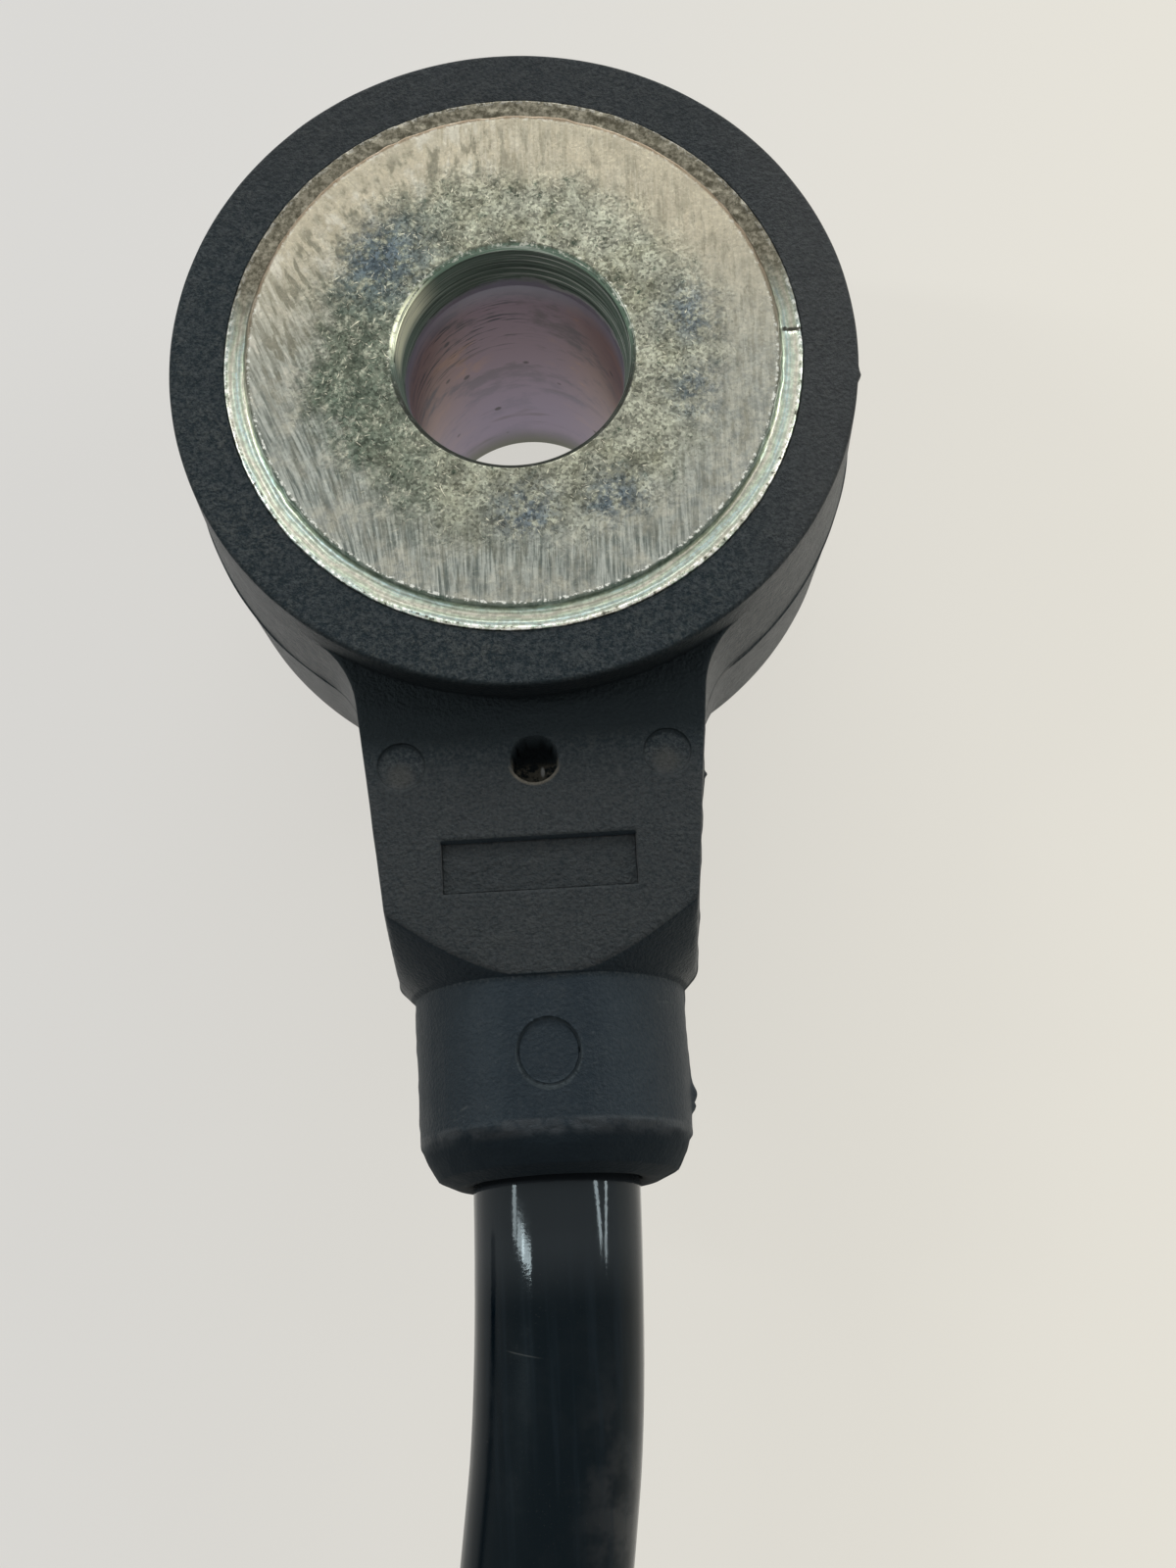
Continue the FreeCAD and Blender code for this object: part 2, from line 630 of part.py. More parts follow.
def terminals():
    """Three blades with crimp barrels."""
    pieces = []
    barrel_start = f"({BLOCK_START} + Sizes.seal_length)"
    blade_start = f"({barrel_start} + Sizes.barrel_length)"
    blade_end = f"({SHROUD_START} + Sizes.shroud_depth - Sizes.blade_recess)"
    for k in (-1, 0, 1):
        x = f"{k} * Sizes.terminal_pitch"
        barrel = plug_cylinder(
            f"barrel_{k + 2}", "Sizes.barrel_radius", barrel_start, "Sizes.barrel_length", x
        )
        length = f"{blade_end} - {blade_start}"
        blade = block(f"blade_{k + 2}", "Sizes.blade_width", length, "Sizes.blade_thickness")
        place(blade, f"{x} - Sizes.blade_width / 2", blade_start, "-Sizes.blade_thickness / 2")
        pieces.append(fused(f"terminal_shape_{k + 2}", [barrel, blade]))
    return pieces


def wire_seals():
    pieces = []
    for k in (-1, 0, 1):
        x = f"{k} * Sizes.terminal_pitch"
        outer = plug_cylinder(
            f"seal_outer_{k + 2}", "Sizes.cavity_radius", BLOCK_START, "Sizes.seal_length", x
        )
        hole = plug_cylinder(f"seal_hole_{k + 2}", "Sizes.core_radius", BLOCK_START, "Sizes.seal_length", x)
        pieces.append(cut(f"seal_shape_{k + 2}", outer, hole))
    return pieces


def secondary_lock():
    lock = block(
        "lock_shape",
        "Sizes.lock_width",
        "Sizes.lock_thickness",
        "(Sizes.plug_height - Sizes.blade_thickness) / 2",
    )
    middle = f"{BLOCK_START} + Sizes.lock_distance - Sizes.lock_thickness / 2"
    return place(lock, "-Sizes.lock_width / 2", middle, "Sizes.blade_thickness / 2")


def plug_housing(inner_pieces):
    """The plug's moulded body: terminal block, open shroud, latch ramp and side ribs."""
    corner = size("plug_corner")
    wall = size("plug_wall")
    body = rounded_block(
        "plug_body",
        "Sizes.plug_width",
        "Sizes.plug_height",
        corner,
        BLOCK_START,
        "Sizes.block_length + Sizes.shroud_depth",
    )
    mouth = rounded_block(
        "plug_mouth",
        "Sizes.plug_width - 2 * Sizes.plug_wall",
        "Sizes.plug_height - 2 * Sizes.plug_wall",
        corner - wall,
        SHROUD_START,
        "Sizes.shroud_depth",
    )
    seats = [
        plug_cylinder(
            f"seal_seat_{k + 2}",
            "Sizes.cavity_radius",
            BLOCK_START,
            "Sizes.seal_length",
            f"{k} * Sizes.terminal_pitch",
        )
        for k in (-1, 0, 1)
    ]
    ramp = bind(
        doc.addObject("Part::Wedge", "latch_ramp"),
        Xmin="0",
        Xmax="Sizes.ramp_width",
        Ymin="0",
        Ymax="Sizes.ramp_height",
        Zmin="0",
        Zmax="Sizes.ramp_length",
        X2min="0",
        X2max="Sizes.ramp_width",
        Z2min="Sizes.ramp_length - Sizes.ramp_top",
        Z2max="Sizes.ramp_length",
    )
    ramp.Placement = FreeCAD.Placement(Vector(0, 0, 0), FreeCAD.Rotation(Vector(1, 0, 0), 90))
    mouth_distance = f"{SHROUD_START} + Sizes.shroud_depth - Sizes.ramp_setback"
    place(ramp, "-Sizes.ramp_width / 2", mouth_distance, "Sizes.plug_height / 2")
    across = "Sizes.plug_width + 2 * Sizes.rib_width"
    ribs = block("side_ribs", across, "Sizes.shroud_depth", "Sizes.rib_height")
    place(ribs, "-Sizes.plug_width / 2 - Sizes.rib_width", SHROUD_START, "-Sizes.rib_height / 2")
    solid = fused("plug_solid", [body, ramp, ribs])
    return cut("plug_shape", solid, fused("plug_room", [mouth] + seats + inner_pieces))


def rear_cap():
    """The cap behind the terminal block, with a collar round the lead."""
    corner = size("plug_corner")
    wall = size("plug_wall")
    body = rounded_block(
        "cap_body",
        "Sizes.plug_width",
        "Sizes.plug_height",
        corner,
        "-Sizes.plug_wall",
        "Sizes.cap_length + Sizes.plug_wall",
    )
    room = rounded_block(
        "cap_room",
        "Sizes.plug_width - 2 * Sizes.plug_wall",
        "Sizes.plug_height - 2 * Sizes.plug_wall",
        corner - wall,
        "0",
        "Sizes.cap_length",
    )
    collar = plug_cylinder(
        "cap_collar",
        "Sizes.cap_collar_radius",
        "-Sizes.plug_wall - Sizes.cap_collar_length",
        "Sizes.cap_collar_length",
    )
    hole = plug_cylinder(
        "cap_hole",
        "Sizes.cable_radius",
        "-Sizes.plug_wall - Sizes.cap_collar_length",
        "Sizes.plug_wall + Sizes.cap_collar_length",
    )
    return cut("cap_shape", fused("cap_solid", [body, collar]), fused("cap_inside", [room, hole]))


def plug_leads():
    """The cores between the end of the lead and the crimp barrels, through the wire seals."""
    pieces = []
    radius = size("core_radius")
    seal_end = size("cap_length") + size("seal_length")
    leave = size("plug_core_straight")
    arrive = size("cap_length") - leave
    for k in (-1, 0, 1):
        near = k * size("plug_core_pitch")
        far = k * size("terminal_pitch")
        points = [(near, 0, 0), (near, leave, 0), (far, arrive, 0), (far, seal_end, 0)]
        if k == 0:
            length = f"{BLOCK_START} + Sizes.seal_length"
            feature = plug_cylinder("plug_lead_shape_2", "Sizes.core_radius", "0", length)
        else:
            feature = tube_along(f"plug_lead_shape_{k + 2}", points, radius)
        pieces.append(feature)
    return pieces


def build():
    """Every sub-part, by the name of its node."""
    parts = {"pressure_sleeve": pressure_sleeve(), "insulating_sleeve": insulating_sleeve()}
    plain_rings = [
        ("upper_insulating_disc", "Sizes.insulator_radius", UPPER_INSULATOR, "Sizes.insulator_thickness"),
        ("piezo_ring", "Sizes.piezo_radius", PIEZO, "Sizes.piezo_thickness"),
        ("lower_insulating_disc", "Sizes.insulator_radius", LOWER_INSULATOR, "Sizes.insulator_thickness"),
        ("seismic_mass", "Sizes.mass_radius", MASS, "Sizes.mass_thickness"),
    ]
    for name, outer, level, thickness in plain_rings:
        parts[name] = ring(name, LINER_RADIUS, outer, level, thickness)
    parts["upper_contact_washer"] = contact_washer("upper_contact_washer", UPPER_CONTACT, 1)
    parts["lower_contact_washer"] = contact_washer("lower_contact_washer", LOWER_CONTACT, -1)
    parts["disc_spring"] = disc_spring()
    parts["ring_nut"] = ring_nut()
    for side, name in ((-1, "left"), (1, "right")):
        parts[f"{name}_crimp_splice"] = crimp_splice(f"{name}_crimp_splice", side)
        parts[f"{name}_core_lead"] = core_lead(f"{name}_core_lead", side)
    parts["sensor_cable"] = tube_along("sensor_cable", LEAD_ROUTE, size("cable_radius"), "sensor lead")
    wiring = ["upper_contact_washer", "lower_contact_washer"]
    wiring += ["left_crimp_splice", "right_crimp_splice", "left_core_lead", "right_core_lead"]
    inside = [parts["pressure_sleeve"]] + [parts[name] for name in wiring]
    parts["sensor_housing"] = sensor_housing(inside, parts["sensor_cable"])

    blades = terminals()
    lock = secondary_lock()
    parts["plug_housing"] = moved_copy("plug_housing", plug_housing(blades + [lock]))
    parts["rear_cap"] = moved_copy("rear_cap", rear_cap())
    parts["secondary_lock"] = moved_copy("secondary_lock", lock)
    for k, (blade, seal, lead) in enumerate(zip(blades, wire_seals(), plug_leads()), start=1):
        parts[f"terminal_{k}"] = moved_copy(f"terminal_{k}", blade)
        parts[f"wire_seal_{k}"] = moved_copy(f"wire_seal_{k}", seal)
        parts[f"plug_lead_{k}"] = moved_copy(f"plug_lead_{k}", lead)
    return parts


def main():
    parts = build()
    doc.recompute()
    failed = [thing.Label for thing in doc.Objects if {"Invalid", "Error"} & set(thing.State)]
    for name, thing in parts.items():
        if thing.Shape.isNull() or not thing.Shape.isValid():
            failed.append(name)
        thing.Label = name
    if failed:
        raise RuntimeError("not built: " + ", ".join(failed))
    os.makedirs("parts", exist_ok=True)
    for name, thing in parts.items():
        thing.Shape.exportStep(f"parts/{name}.step")
        print(name, "solids", len(thing.Shape.Solids), "volume", round(thing.Shape.Volume, 2))


main()
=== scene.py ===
import functools
import math

import bmesh
import bpy
import numpy as np
from bpy.props import FloatProperty, FloatVectorProperty, IntProperty, PointerProperty
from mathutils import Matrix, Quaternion, Vector


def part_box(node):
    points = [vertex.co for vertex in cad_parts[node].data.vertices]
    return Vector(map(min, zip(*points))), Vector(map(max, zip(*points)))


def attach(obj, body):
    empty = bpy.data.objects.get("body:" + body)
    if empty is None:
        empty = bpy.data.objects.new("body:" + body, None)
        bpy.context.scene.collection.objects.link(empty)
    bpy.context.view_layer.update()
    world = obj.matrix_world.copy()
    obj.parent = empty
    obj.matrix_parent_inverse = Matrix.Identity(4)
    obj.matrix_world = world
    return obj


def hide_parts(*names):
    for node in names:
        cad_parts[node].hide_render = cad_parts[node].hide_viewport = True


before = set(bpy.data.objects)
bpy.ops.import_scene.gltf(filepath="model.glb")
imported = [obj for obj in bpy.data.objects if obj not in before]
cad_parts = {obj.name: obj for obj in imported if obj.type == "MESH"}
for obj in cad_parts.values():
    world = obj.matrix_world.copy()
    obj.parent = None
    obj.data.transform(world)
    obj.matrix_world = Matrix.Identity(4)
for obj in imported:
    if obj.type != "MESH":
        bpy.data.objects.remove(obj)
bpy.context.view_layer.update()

bl_info = {
    "name": "Engine Knock Sensor",
    "version": (1, 0, 0),
    "blender": (4, 5, 0),
    "location": "3D View > Sidebar > Knock Sensor",
    "description": "Dresses the solids of a ring-shaped knock sensor with its lead and plug",
    "category": "Object",
}

MM = 0.001
BODY = "root"

# Places on the sensor in millimetres, as in the part's source: the mould's parting plane, how far the
# flat faces of the neck and the outlet lie from it, and the radii of the body and the outlet.
PARTING = 11.3
NECK_RISE = 4.95
OUTLET_RISE = 4.8
BODY_RADIUS = 13.2
OUTLET_RADIUS = 5.06

# The neck tapers from its start to the outlet's start, both distances from the bore axis, and draws in
# by the draft away from the parting plane. A hollow arc joins it to the body.
NECK_START = 14.5
OUTLET_START = 23.5
NECK_WIDTHS = (12.9, 11.1)
NECK_DRAFT = math.radians(1.0)
NECK_HOLLOW = 3.6

# The ejector marks on the neck, with the pin hole between them, and the mark on the outlet.
MARK_X = 4.9
MARK_Y = -15.5
OUTLET_MARK_Y = -26.3

# The nick in the rim of the contact flange.
NICK_PLACE = (10.63, 0.48)

# The lead's route, in metres, as in the part's source: straight out of the housing, down to the
# surface that the sensor stands on, and round in one wide bend to the plug.
LEAD_ROUTE = [
    (0, -0.022, 0.0113),
    (0, -0.036, 0.0113),
    (-0.0015, -0.0465, 0.0105),
    (-0.0034, -0.058, 0.0088),
    (-0.0046, -0.07, 0.0059),
    (-0.0056, -0.081, 0.0039),
    (-0.008, -0.0915, 0.0031),
    (-0.0142, -0.1003, 0.0031),
    (-0.0233, -0.1062, 0.0031),
    (-0.0339, -0.1083, 0.0031),
    (-0.0445, -0.1062, 0.0031),
    (-0.0536, -0.1003, 0.0031),
    (-0.0598, -0.0915, 0.0031),
    (-0.0628, -0.081, 0.0031),
    (-0.0628, -0.07, 0.0031),
    (-0.0628, -0.06, 0.0047),
    (-0.0628, -0.0505, 0.0047),
]


def node_low(name):
    """Lowest corner of a CAD node, in millimetres."""
    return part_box(name)[0] / MM


def node_high(name):
    """Highest corner of a CAD node, in millimetres."""
    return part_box(name)[1] / MM


def length(label, description, default):
    return FloatProperty(name=label, description=description, default=default, min=0.0, unit="LENGTH")


def colour(label, description, default):
    solid = (*default, 1.0)
    return FloatVectorProperty(
        name=label, description=description, default=solid, size=4, subtype="COLOR", min=0.0, max=1.0
    )


class KnockSensorSizes(bpy.types.PropertyGroup):
    """Sizes of the fine shapes that the solids leave plain."""

    groove_pitch: length("Groove pitch", "Distance between the turned grooves of the rim", 0.00017)
    groove_depth: length("Groove depth", "Depth of the turned grooves of the rim", 0.000009)
    plastic_edge: length("Plastic edge", "Rounding of the round body's edges", 0.00016)
    neck_edge: length("Neck edge", "Softness of the neck's long edges", 0.00009)
    flash_height: length("Flash", "How far the mould's parting line stands out", 0.00005)
    plug_edge: length("Plug edge", "Rounding of the plug's edges", 0.00022)
    lead_diameter: length("Lead", "Outside of the lead", 0.0062)
    lead_length: length("Lead length", "Free lead from the outlet to the plug, along its middle", 0.164)


class KnockSensorColours(bpy.types.PropertyGroup):
    """Colours of the finishes."""

    plastic: colour("Moulding", "Glass-filled plastic of the housing", (0.002, 0.0052, 0.0082))
    plastic_dust: colour("Worn moulding", "Dusty and rubbed plastic", (0.046, 0.05, 0.054))
    lead: colour("Lead jacket", "Glossy jacket of the lead", (0.0004, 0.0032, 0.0058))
    plug: colour("Plug", "Plastic of the plug and its rear cap", (0.016, 0.0165, 0.018))
    lock: colour("Secondary lock", "Coloured lock over the terminals", (0.42, 0.07, 0.025))
    plating_light: colour("Plating, light", "Rubbed outer zone of the contact face", (0.6, 0.54, 0.4))
    plating_dark: colour("Plating, dark", "Mottled inner zone of the contact face", (0.092, 0.12, 0.092))
    plating_blue: colour("Plating, blue", "Bluish patches of the contact face", (0.1, 0.132, 0.16))
    bore_tint: colour("Bore", "Tarnish inside the bolt hole", (0.29, 0.22, 0.27))
    floor_cool: colour("Floor, cool side", "Floor on the left", (0.715, 0.705, 0.68))
    floor_warm: colour("Floor, warm side", "Floor on the right", (0.82, 0.79, 0.71))


class KnockSensorStudio(bpy.types.PropertyGroup):
    """Camera and lamps."""

    camera_place: FloatVectorProperty(
        name="Camera",
        description="Place of the camera",
        default=(0.0022804, -0.0401775, 0.0991858),
        unit="LENGTH",
    )
    camera_turn: FloatVectorProperty(
        name="Camera turn",
        description="Turn of the camera about X, Y and Z",
        default=(math.radians(15.8432), math.radians(1.1352), math.radians(-3.1279)),
        subtype="EULER",
    )
    lens: FloatProperty(name="Focal length", description="Lens, in millimetres", default=54.09, min=1.0)
    world_light: FloatProperty(
        name="Room light", description="Strength of the room's light", default=0.3, min=0.0
    )
    lamp_light: FloatProperty(
        name="Lamps", description="Strength of all lamps together", default=1.0, min=0.0
    )
    floor_glow: FloatProperty(
        name="Floor glow",
        description="Share of the floor's colour that shadows spare",
        default=0.82,
        max=1.0,
    )


class KnockSensorSettings(bpy.types.PropertyGroup):
    """Everything that a user may change."""

    sizes: PointerProperty(type=KnockSensorSizes)
    colours: PointerProperty(type=KnockSensorColours)
    studio: PointerProperty(type=KnockSensorStudio)
    seed: IntProperty(name="Seed", description="Start of the small irregularities", default=7)


# Mesh tools


def grid_faces(rows, columns, close_rows, close_columns):
    """The four corners of each cell of a grid of rows by columns points, numbered row by row."""
    row = np.arange(rows if close_rows else rows - 1)
    column = np.arange(columns if close_columns else columns - 1)
    row, column = (a.ravel() for a in np.meshgrid(row, column, indexing="ij"))
    next_row = (row + 1) % rows
    next_column = (column + 1) % columns
    corners = [row * columns + column, next_row * columns + column]
    corners += [next_row * columns + next_column, row * columns + next_column]
    return np.stack(corners, axis=1)


def outward(points, faces):
    """The faces, turned round if the closed surface that they form has a negative volume."""
    first, second, third, fourth = (points[faces[:, k]] for k in range(4))
    volume = np.einsum("ij,ij->", first, np.cross(second, third)) + np.einsum(
        "ij,ij->", first, np.cross(third, fourth)
    )
    return faces if volume > 0 else faces[:, ::-1]


def new_object(name, data):
    """An object of the scene with the given mesh, curve, lamp or camera."""
    thing = bpy.data.objects.new(name, data)
    bpy.context.scene.collection.objects.link(thing)
    return thing


def new_piece(name, points, faces, caps=()):
    """A smooth closed mesh object from points in millimetres, quads and a few larger end faces."""
    mesh = bpy.data.meshes.new(name)
    mesh.from_pydata((points * MM).tolist(), [], faces.tolist() + [list(cap) for cap in caps])
    mesh.validate()
    mesh.shade_smooth()
    return new_object(name, mesh)


def dress(piece, slot, material, *nodes):
    """Hides the nodes that a new piece stands for, and gives it what carries it and what it is made of."""
    piece.data.materials.clear()
    piece.data.materials.append(material)
    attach(piece, BODY)
    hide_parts(*nodes)
    return piece


def finish_node(name, material):
    """Gives a CAD node that stays as it is its material."""
    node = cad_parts[name]
    for slot in node.material_slots:
        slot.material = material
    if not node.material_slots:
        node.data.materials.append(material)


def space_waves(points, rng, shortest, longest, count=28):
    """A smooth random field of about -1 to 1 in space: a sum of plane waves whose wavelengths lie
    between the shortest and the longest, in the points' unit."""
    directions = rng.normal(size=(count, 3))
    directions /= np.linalg.norm(directions, axis=1, keepdims=True)
    numbers = 2 * np.pi / np.exp(rng.uniform(np.log(shortest), np.log(longest), count))
    phases = rng.uniform(0, 2 * np.pi, count)
    return np.cos(points @ (directions * numbers[:, None]).T + phases).sum(axis=-1) / math.sqrt(count)


def smooth_step(value, low, high):
    """0 below low, 1 above high and 3t^2 - 2t^3 between them."""
    share = np.clip((value - low) / (high - low), 0, 1)
    return share * share * (3 - 2 * share)


def eased_outline(corners):
    """A closed outline through corners (r, z, rounding, spacing): each corner is an arc of the rounding's
    radius that touches both its runs, and the run that follows it is divided at the spacing."""
    spots = np.array([corner[:2] for corner in corners], float)
    count = len(corners)
    arcs = []
    for k, rounding in enumerate(corner[2] for corner in corners):
        back = spots[k - 1] - spots[k]
        ahead = spots[(k + 1) % count] - spots[k]
        back /= np.linalg.norm(back)
        ahead /= np.linalg.norm(ahead)
        half = math.acos(np.clip(back @ ahead, -1, 1)) / 2
        if rounding == 0 or half > 1.55:
            arcs.append(spots[k][None, :])
            continue
        middle = (back + ahead) / np.linalg.norm(back + ahead)
        centre = spots[k] + middle * rounding / math.sin(half)
        start = spots[k] + back * rounding / math.tan(half) - centre
        end = spots[k] + ahead * rounding / math.tan(half) - centre
        turn = math.pi - 2 * half
        share = np.linspace(0, 1, max(3, int(turn / 0.35) + 2))[:, None]
        arcs.append(
            centre + (np.sin((1 - share) * turn) * start + np.sin(share * turn) * end) / math.sin(turn)
        )
    outline = []
    for k, arc in enumerate(arcs):
        target = arcs[(k + 1) % count][0]
        steps = max(1, int(np.linalg.norm(target - arc[-1]) / corners[k][3]))
        share = np.linspace(0, 1, steps + 1)[1:-1, None]
        outline += [arc, arc[-1] + (target - arc[-1]) * share]
    return np.concatenate(outline)


def turned_points(outline, segments):
    """The outline's points (r, z) carried round the Z axis: (r cos a, r sin a, z), one column a step."""
    angle = np.linspace(0, 2 * np.pi, segments, endpoint=False)
    radius, height = outline[:, 0:1], outline[:, 1:2]
    return np.stack([radius * np.cos(angle), radius * np.sin(angle), height + 0 * angle], axis=-1)


def eased_copy(node, name, width):
    """A merged copy of a CAD node's mesh with its flat faces joined and its edges rounded."""
    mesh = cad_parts[node].data.copy()
    mesh.name = name
    form = bmesh.new()
    form.from_mesh(mesh)
    bmesh.ops.remove_doubles(form, verts=form.verts, dist=1e-6)
    bmesh.ops.dissolve_limit(form, angle_limit=math.radians(1), verts=form.verts, edges=form.edges)
    form.to_mesh(mesh)
    form.free()
    mesh.shade_smooth()
    piece = new_object(name, mesh)
    bevel = piece.modifiers.new("edges", "BEVEL")
    bevel.width = width
    bevel.segments = 3
    bevel.limit_method = "ANGLE"
    bevel.angle_limit = math.radians(35)
    bevel.harden_normals = True
    return piece


# Material tools


class Graph:
    """Puts nodes into a node tree. An input is a number, a tuple or another node's output. A colour is a
    tuple of three."""

    def __init__(self, tree):
        self.tree = tree

    @functools.cached_property
    def place(self):
        """The place on the sensor in millimetres, as outputs Point, Radius, Turn and Height."""
        return self.effect("Place on Sensor")

    @property
    def point(self):
        return self.place["Point"]

    @functools.cached_property
    def coordinates(self):
        return self.parts(self.point)

    def feed(self, socket, value):
        if isinstance(value, bpy.types.NodeSocket):
            self.tree.links.new(value, socket)
        else:
            solid = isinstance(value, tuple) and len(value) == 3 and socket.type == "RGBA"
            socket.default_value = (*value, 1.0) if solid else value

    def put(self, kind, inputs=(), **settings):
        node = self.tree.nodes.new("ShaderNode" + kind)
        for name, value in settings.items():
            setattr(node, name, value)
        for name, value in dict(inputs).items():
            self.feed(node.inputs[name], value)
        return node

    def math(self, operation, *values):
        node = self.put("Math", operation=operation)
        for socket, value in zip(node.inputs, values):
            self.feed(socket, value)
        return node.outputs[0]

    def times(self, *values):
        """The product of several values."""
        result = values[0]
        for value in values[1:]:
            result = self.math("MULTIPLY", result, value)
        return result

    def sum(self, *values):
        result = values[0]
        for value in values[1:]:
            result = self.math("ADD", result, value)
        return result

    def rest(self, value):
        """What is left of 1."""
        return self.math("SUBTRACT", 1.0, value)

    def less(self, first, second):
        return self.math("SUBTRACT", first, second)

    def size(self, value):
        return self.math("ABSOLUTE", value)

    def most(self, first, second):
        return self.math("MAXIMUM", first, second)

    def parts(self, vector):
        """The three coordinates of a vector."""
        return self.put("SeparateXYZ", {"Vector": vector}).outputs

    def span(self, value, low, high):
        """0 at low and 1 at high, with a smooth run between them."""
        inputs = {"Value": value, "From Min": low, "From Max": high}
        return self.put("MapRange", inputs, interpolation_type="SMOOTHSTEP").outputs[0]

    def scaled(self, value, low, high):
        """A value of 0 to 1 brought to the range from low to high."""
        return self.put("MapRange", {"Value": value, "To Min": low, "To Max": high}).outputs[0]

    def mix(self, factor, first, second, mode="MIX"):
        node = self.put("Mix", data_type="RGBA", blend_type=mode)
        for socket, value in zip((node.inputs[0], node.inputs[6], node.inputs[7]), (factor, first, second)):
            self.feed(socket, value)
        return node.outputs[2]

    def cover(self, base, *layers):
        """A colour under several layers (mask, colour), each laid over the ones before it."""
        for mask, shade in layers:
            base = self.mix(mask, base, shade)
        return base

    def shaders(self, factor, first, second):
        """A mix of the shaders of two nodes."""
        node = self.put("MixShader", {"Fac": factor})
        self.feed(node.inputs[1], first.outputs[0])
        self.feed(node.inputs[2], second.outputs[0])
        return node.outputs[0]

    def seen(self):
        """1 for what the camera sees, straight, mirrored or through glass, and 0 for light itself."""
        rays = self.put("LightPath").outputs
        return self.most(
            self.most(rays["Is Camera Ray"], rays["Is Glossy Ray"]), rays["Is Transmission Ray"]
        )

    def stretched(self, scale):
        """The sensor's coordinates scaled by axis, for grain that runs one way."""
        return self.put("Mapping", {"Vector": self.point, "Scale": scale}).outputs[0]

    def noise(self, scale, detail, roughness, point=None):
        """Noise over the sensor's coordinates, or over another point."""
        inputs = {"Vector": point or self.point, "Scale": scale, "Detail": detail, "Roughness": roughness}
        return self.put("TexNoise", inputs).outputs[0]

    def cells(self, scale, output):
        return self.put("TexVoronoi", {"Vector": self.point, "Scale": scale}).outputs[output]

    def ramp(self, value, *stops):
        """A colour ramp with stops (place, colour)."""
        node = self.put("ValToRGB", {"Fac": value})
        elements = node.color_ramp.elements
        while len(elements) < len(stops):
            elements.new(1.0)
        for element, (place, shade) in zip(elements, stops):
            element.position = place
            element.color = (*shade, 1.0)
        return node.outputs[0]

    def distance(self, place, point=None):
        """Distance in the XY plane from a place, over the sensor's coordinates or another point."""
        flat = self.put("VectorMath", operation="MULTIPLY")
        self.feed(flat.inputs[0], point or self.point)
        flat.inputs[1].default_value = (1.0, 1.0, 0.0)
        node = self.put("VectorMath", operation="DISTANCE")
        self.feed(node.inputs[0], flat.outputs[0])
        node.inputs[1].default_value = (place[0], place[1], 0.0)
        return node.outputs["Value"]

    def disc(self, centre, radius, softness, point=None):
        """1 inside a circle in the XY plane and 0 outside it."""
        return self.span(self.distance(centre, point), radius + softness / 2, radius - softness / 2)

    def scratches(self, turn, density, length):
        """The shared scratches at a turn about Z, a density across them and a length along them."""
        return self.effect("Scratches", Turn=turn, Density=density, Length=length)["Value"]

    def effect(self, name, **inputs):
        """One of the shared effects, as a dictionary of its outputs."""
        node = self.tree.nodes.new("ShaderNodeGroup")
        node.node_tree = bpy.data.node_groups[name]
        for label, value in inputs.items():
            self.feed(node.inputs[label.replace("_", " ")], value)
        return {socket.name: socket for socket in node.outputs}


def new_effect(name, inputs, outputs):
    """An empty node group with named float inputs and outputs: its graph, its inputs and its outputs."""
    tree = bpy.data.node_groups.new(name, "ShaderNodeTree")
    for label, default in inputs.items():
        socket = tree.interface.new_socket(label, in_out="INPUT", socket_type="NodeSocketFloat")
        socket.default_value = default
    for label, kind in outputs.items():
        tree.interface.new_socket(label, in_out="OUTPUT", socket_type="NodeSocket" + kind)
    source = tree.nodes.new("NodeGroupInput")
    target = tree.nodes.new("NodeGroupOutput")
    return Graph(tree), source.outputs, target.inputs


def place_effect():
    """Object coordinates in millimetres, with the distance from the bore axis, the turn and the height."""
    graph, _, out = new_effect(
        "Place on Sensor", {}, {"Point": "Vector", "Radius": "Float", "Turn": "Float", "Height": "Float"}
    )
    node = graph.put("VectorMath", operation="SCALE")
    graph.feed(node.inputs[0], graph.put("TexCoord").outputs["Object"])
    graph.feed(node.inputs["Scale"], 1 / MM)
    point = node.outputs[0]
    x, y, z = graph.parts(point)
    graph.feed(out["Point"], point)
    graph.feed(out["Radius"], graph.distance((0.0, 0.0), point))
    graph.feed(out["Turn"], graph.math("ARCTAN2", y, x))
    graph.feed(out["Height"], z)


def grain_effect():
    """Spark-eroded mould grain: fine pits over broader unevenness, and a mask of rubbed high spots."""
    graph, given, out = new_effect(
        "Mould Grain", {"Density": 6.0, "Coarseness": 0.4}, {"Relief": "Float", "Rubbed": "Float"}
    )
    fine = graph.noise(given["Density"], 3.0, 0.65)
    coarse = graph.noise(graph.times(given["Density"], 0.3), 2.0, 0.5)
    relief = graph.sum(fine, graph.times(coarse, given["Coarseness"]))
    graph.feed(out["Relief"], relief)
    graph.feed(out["Rubbed"], graph.span(relief, 0.66, 0.9))


def dust_effect():
    """Fine dust and lint: sparse specks, gathered in broad patches."""
    graph, given, out = new_effect("Dust", {"Density": 3.0, "Amount": 0.5}, {"Mask": "Float"})
    specks = graph.span(graph.noise(given["Density"], 4.0, 0.75), 0.6, 0.78)
    patches = graph.span(graph.noise(0.22, 3.0, 0.6), 0.38, 0.66)
    graph.feed(out["Mask"], graph.times(specks, patches, given["Amount"]))


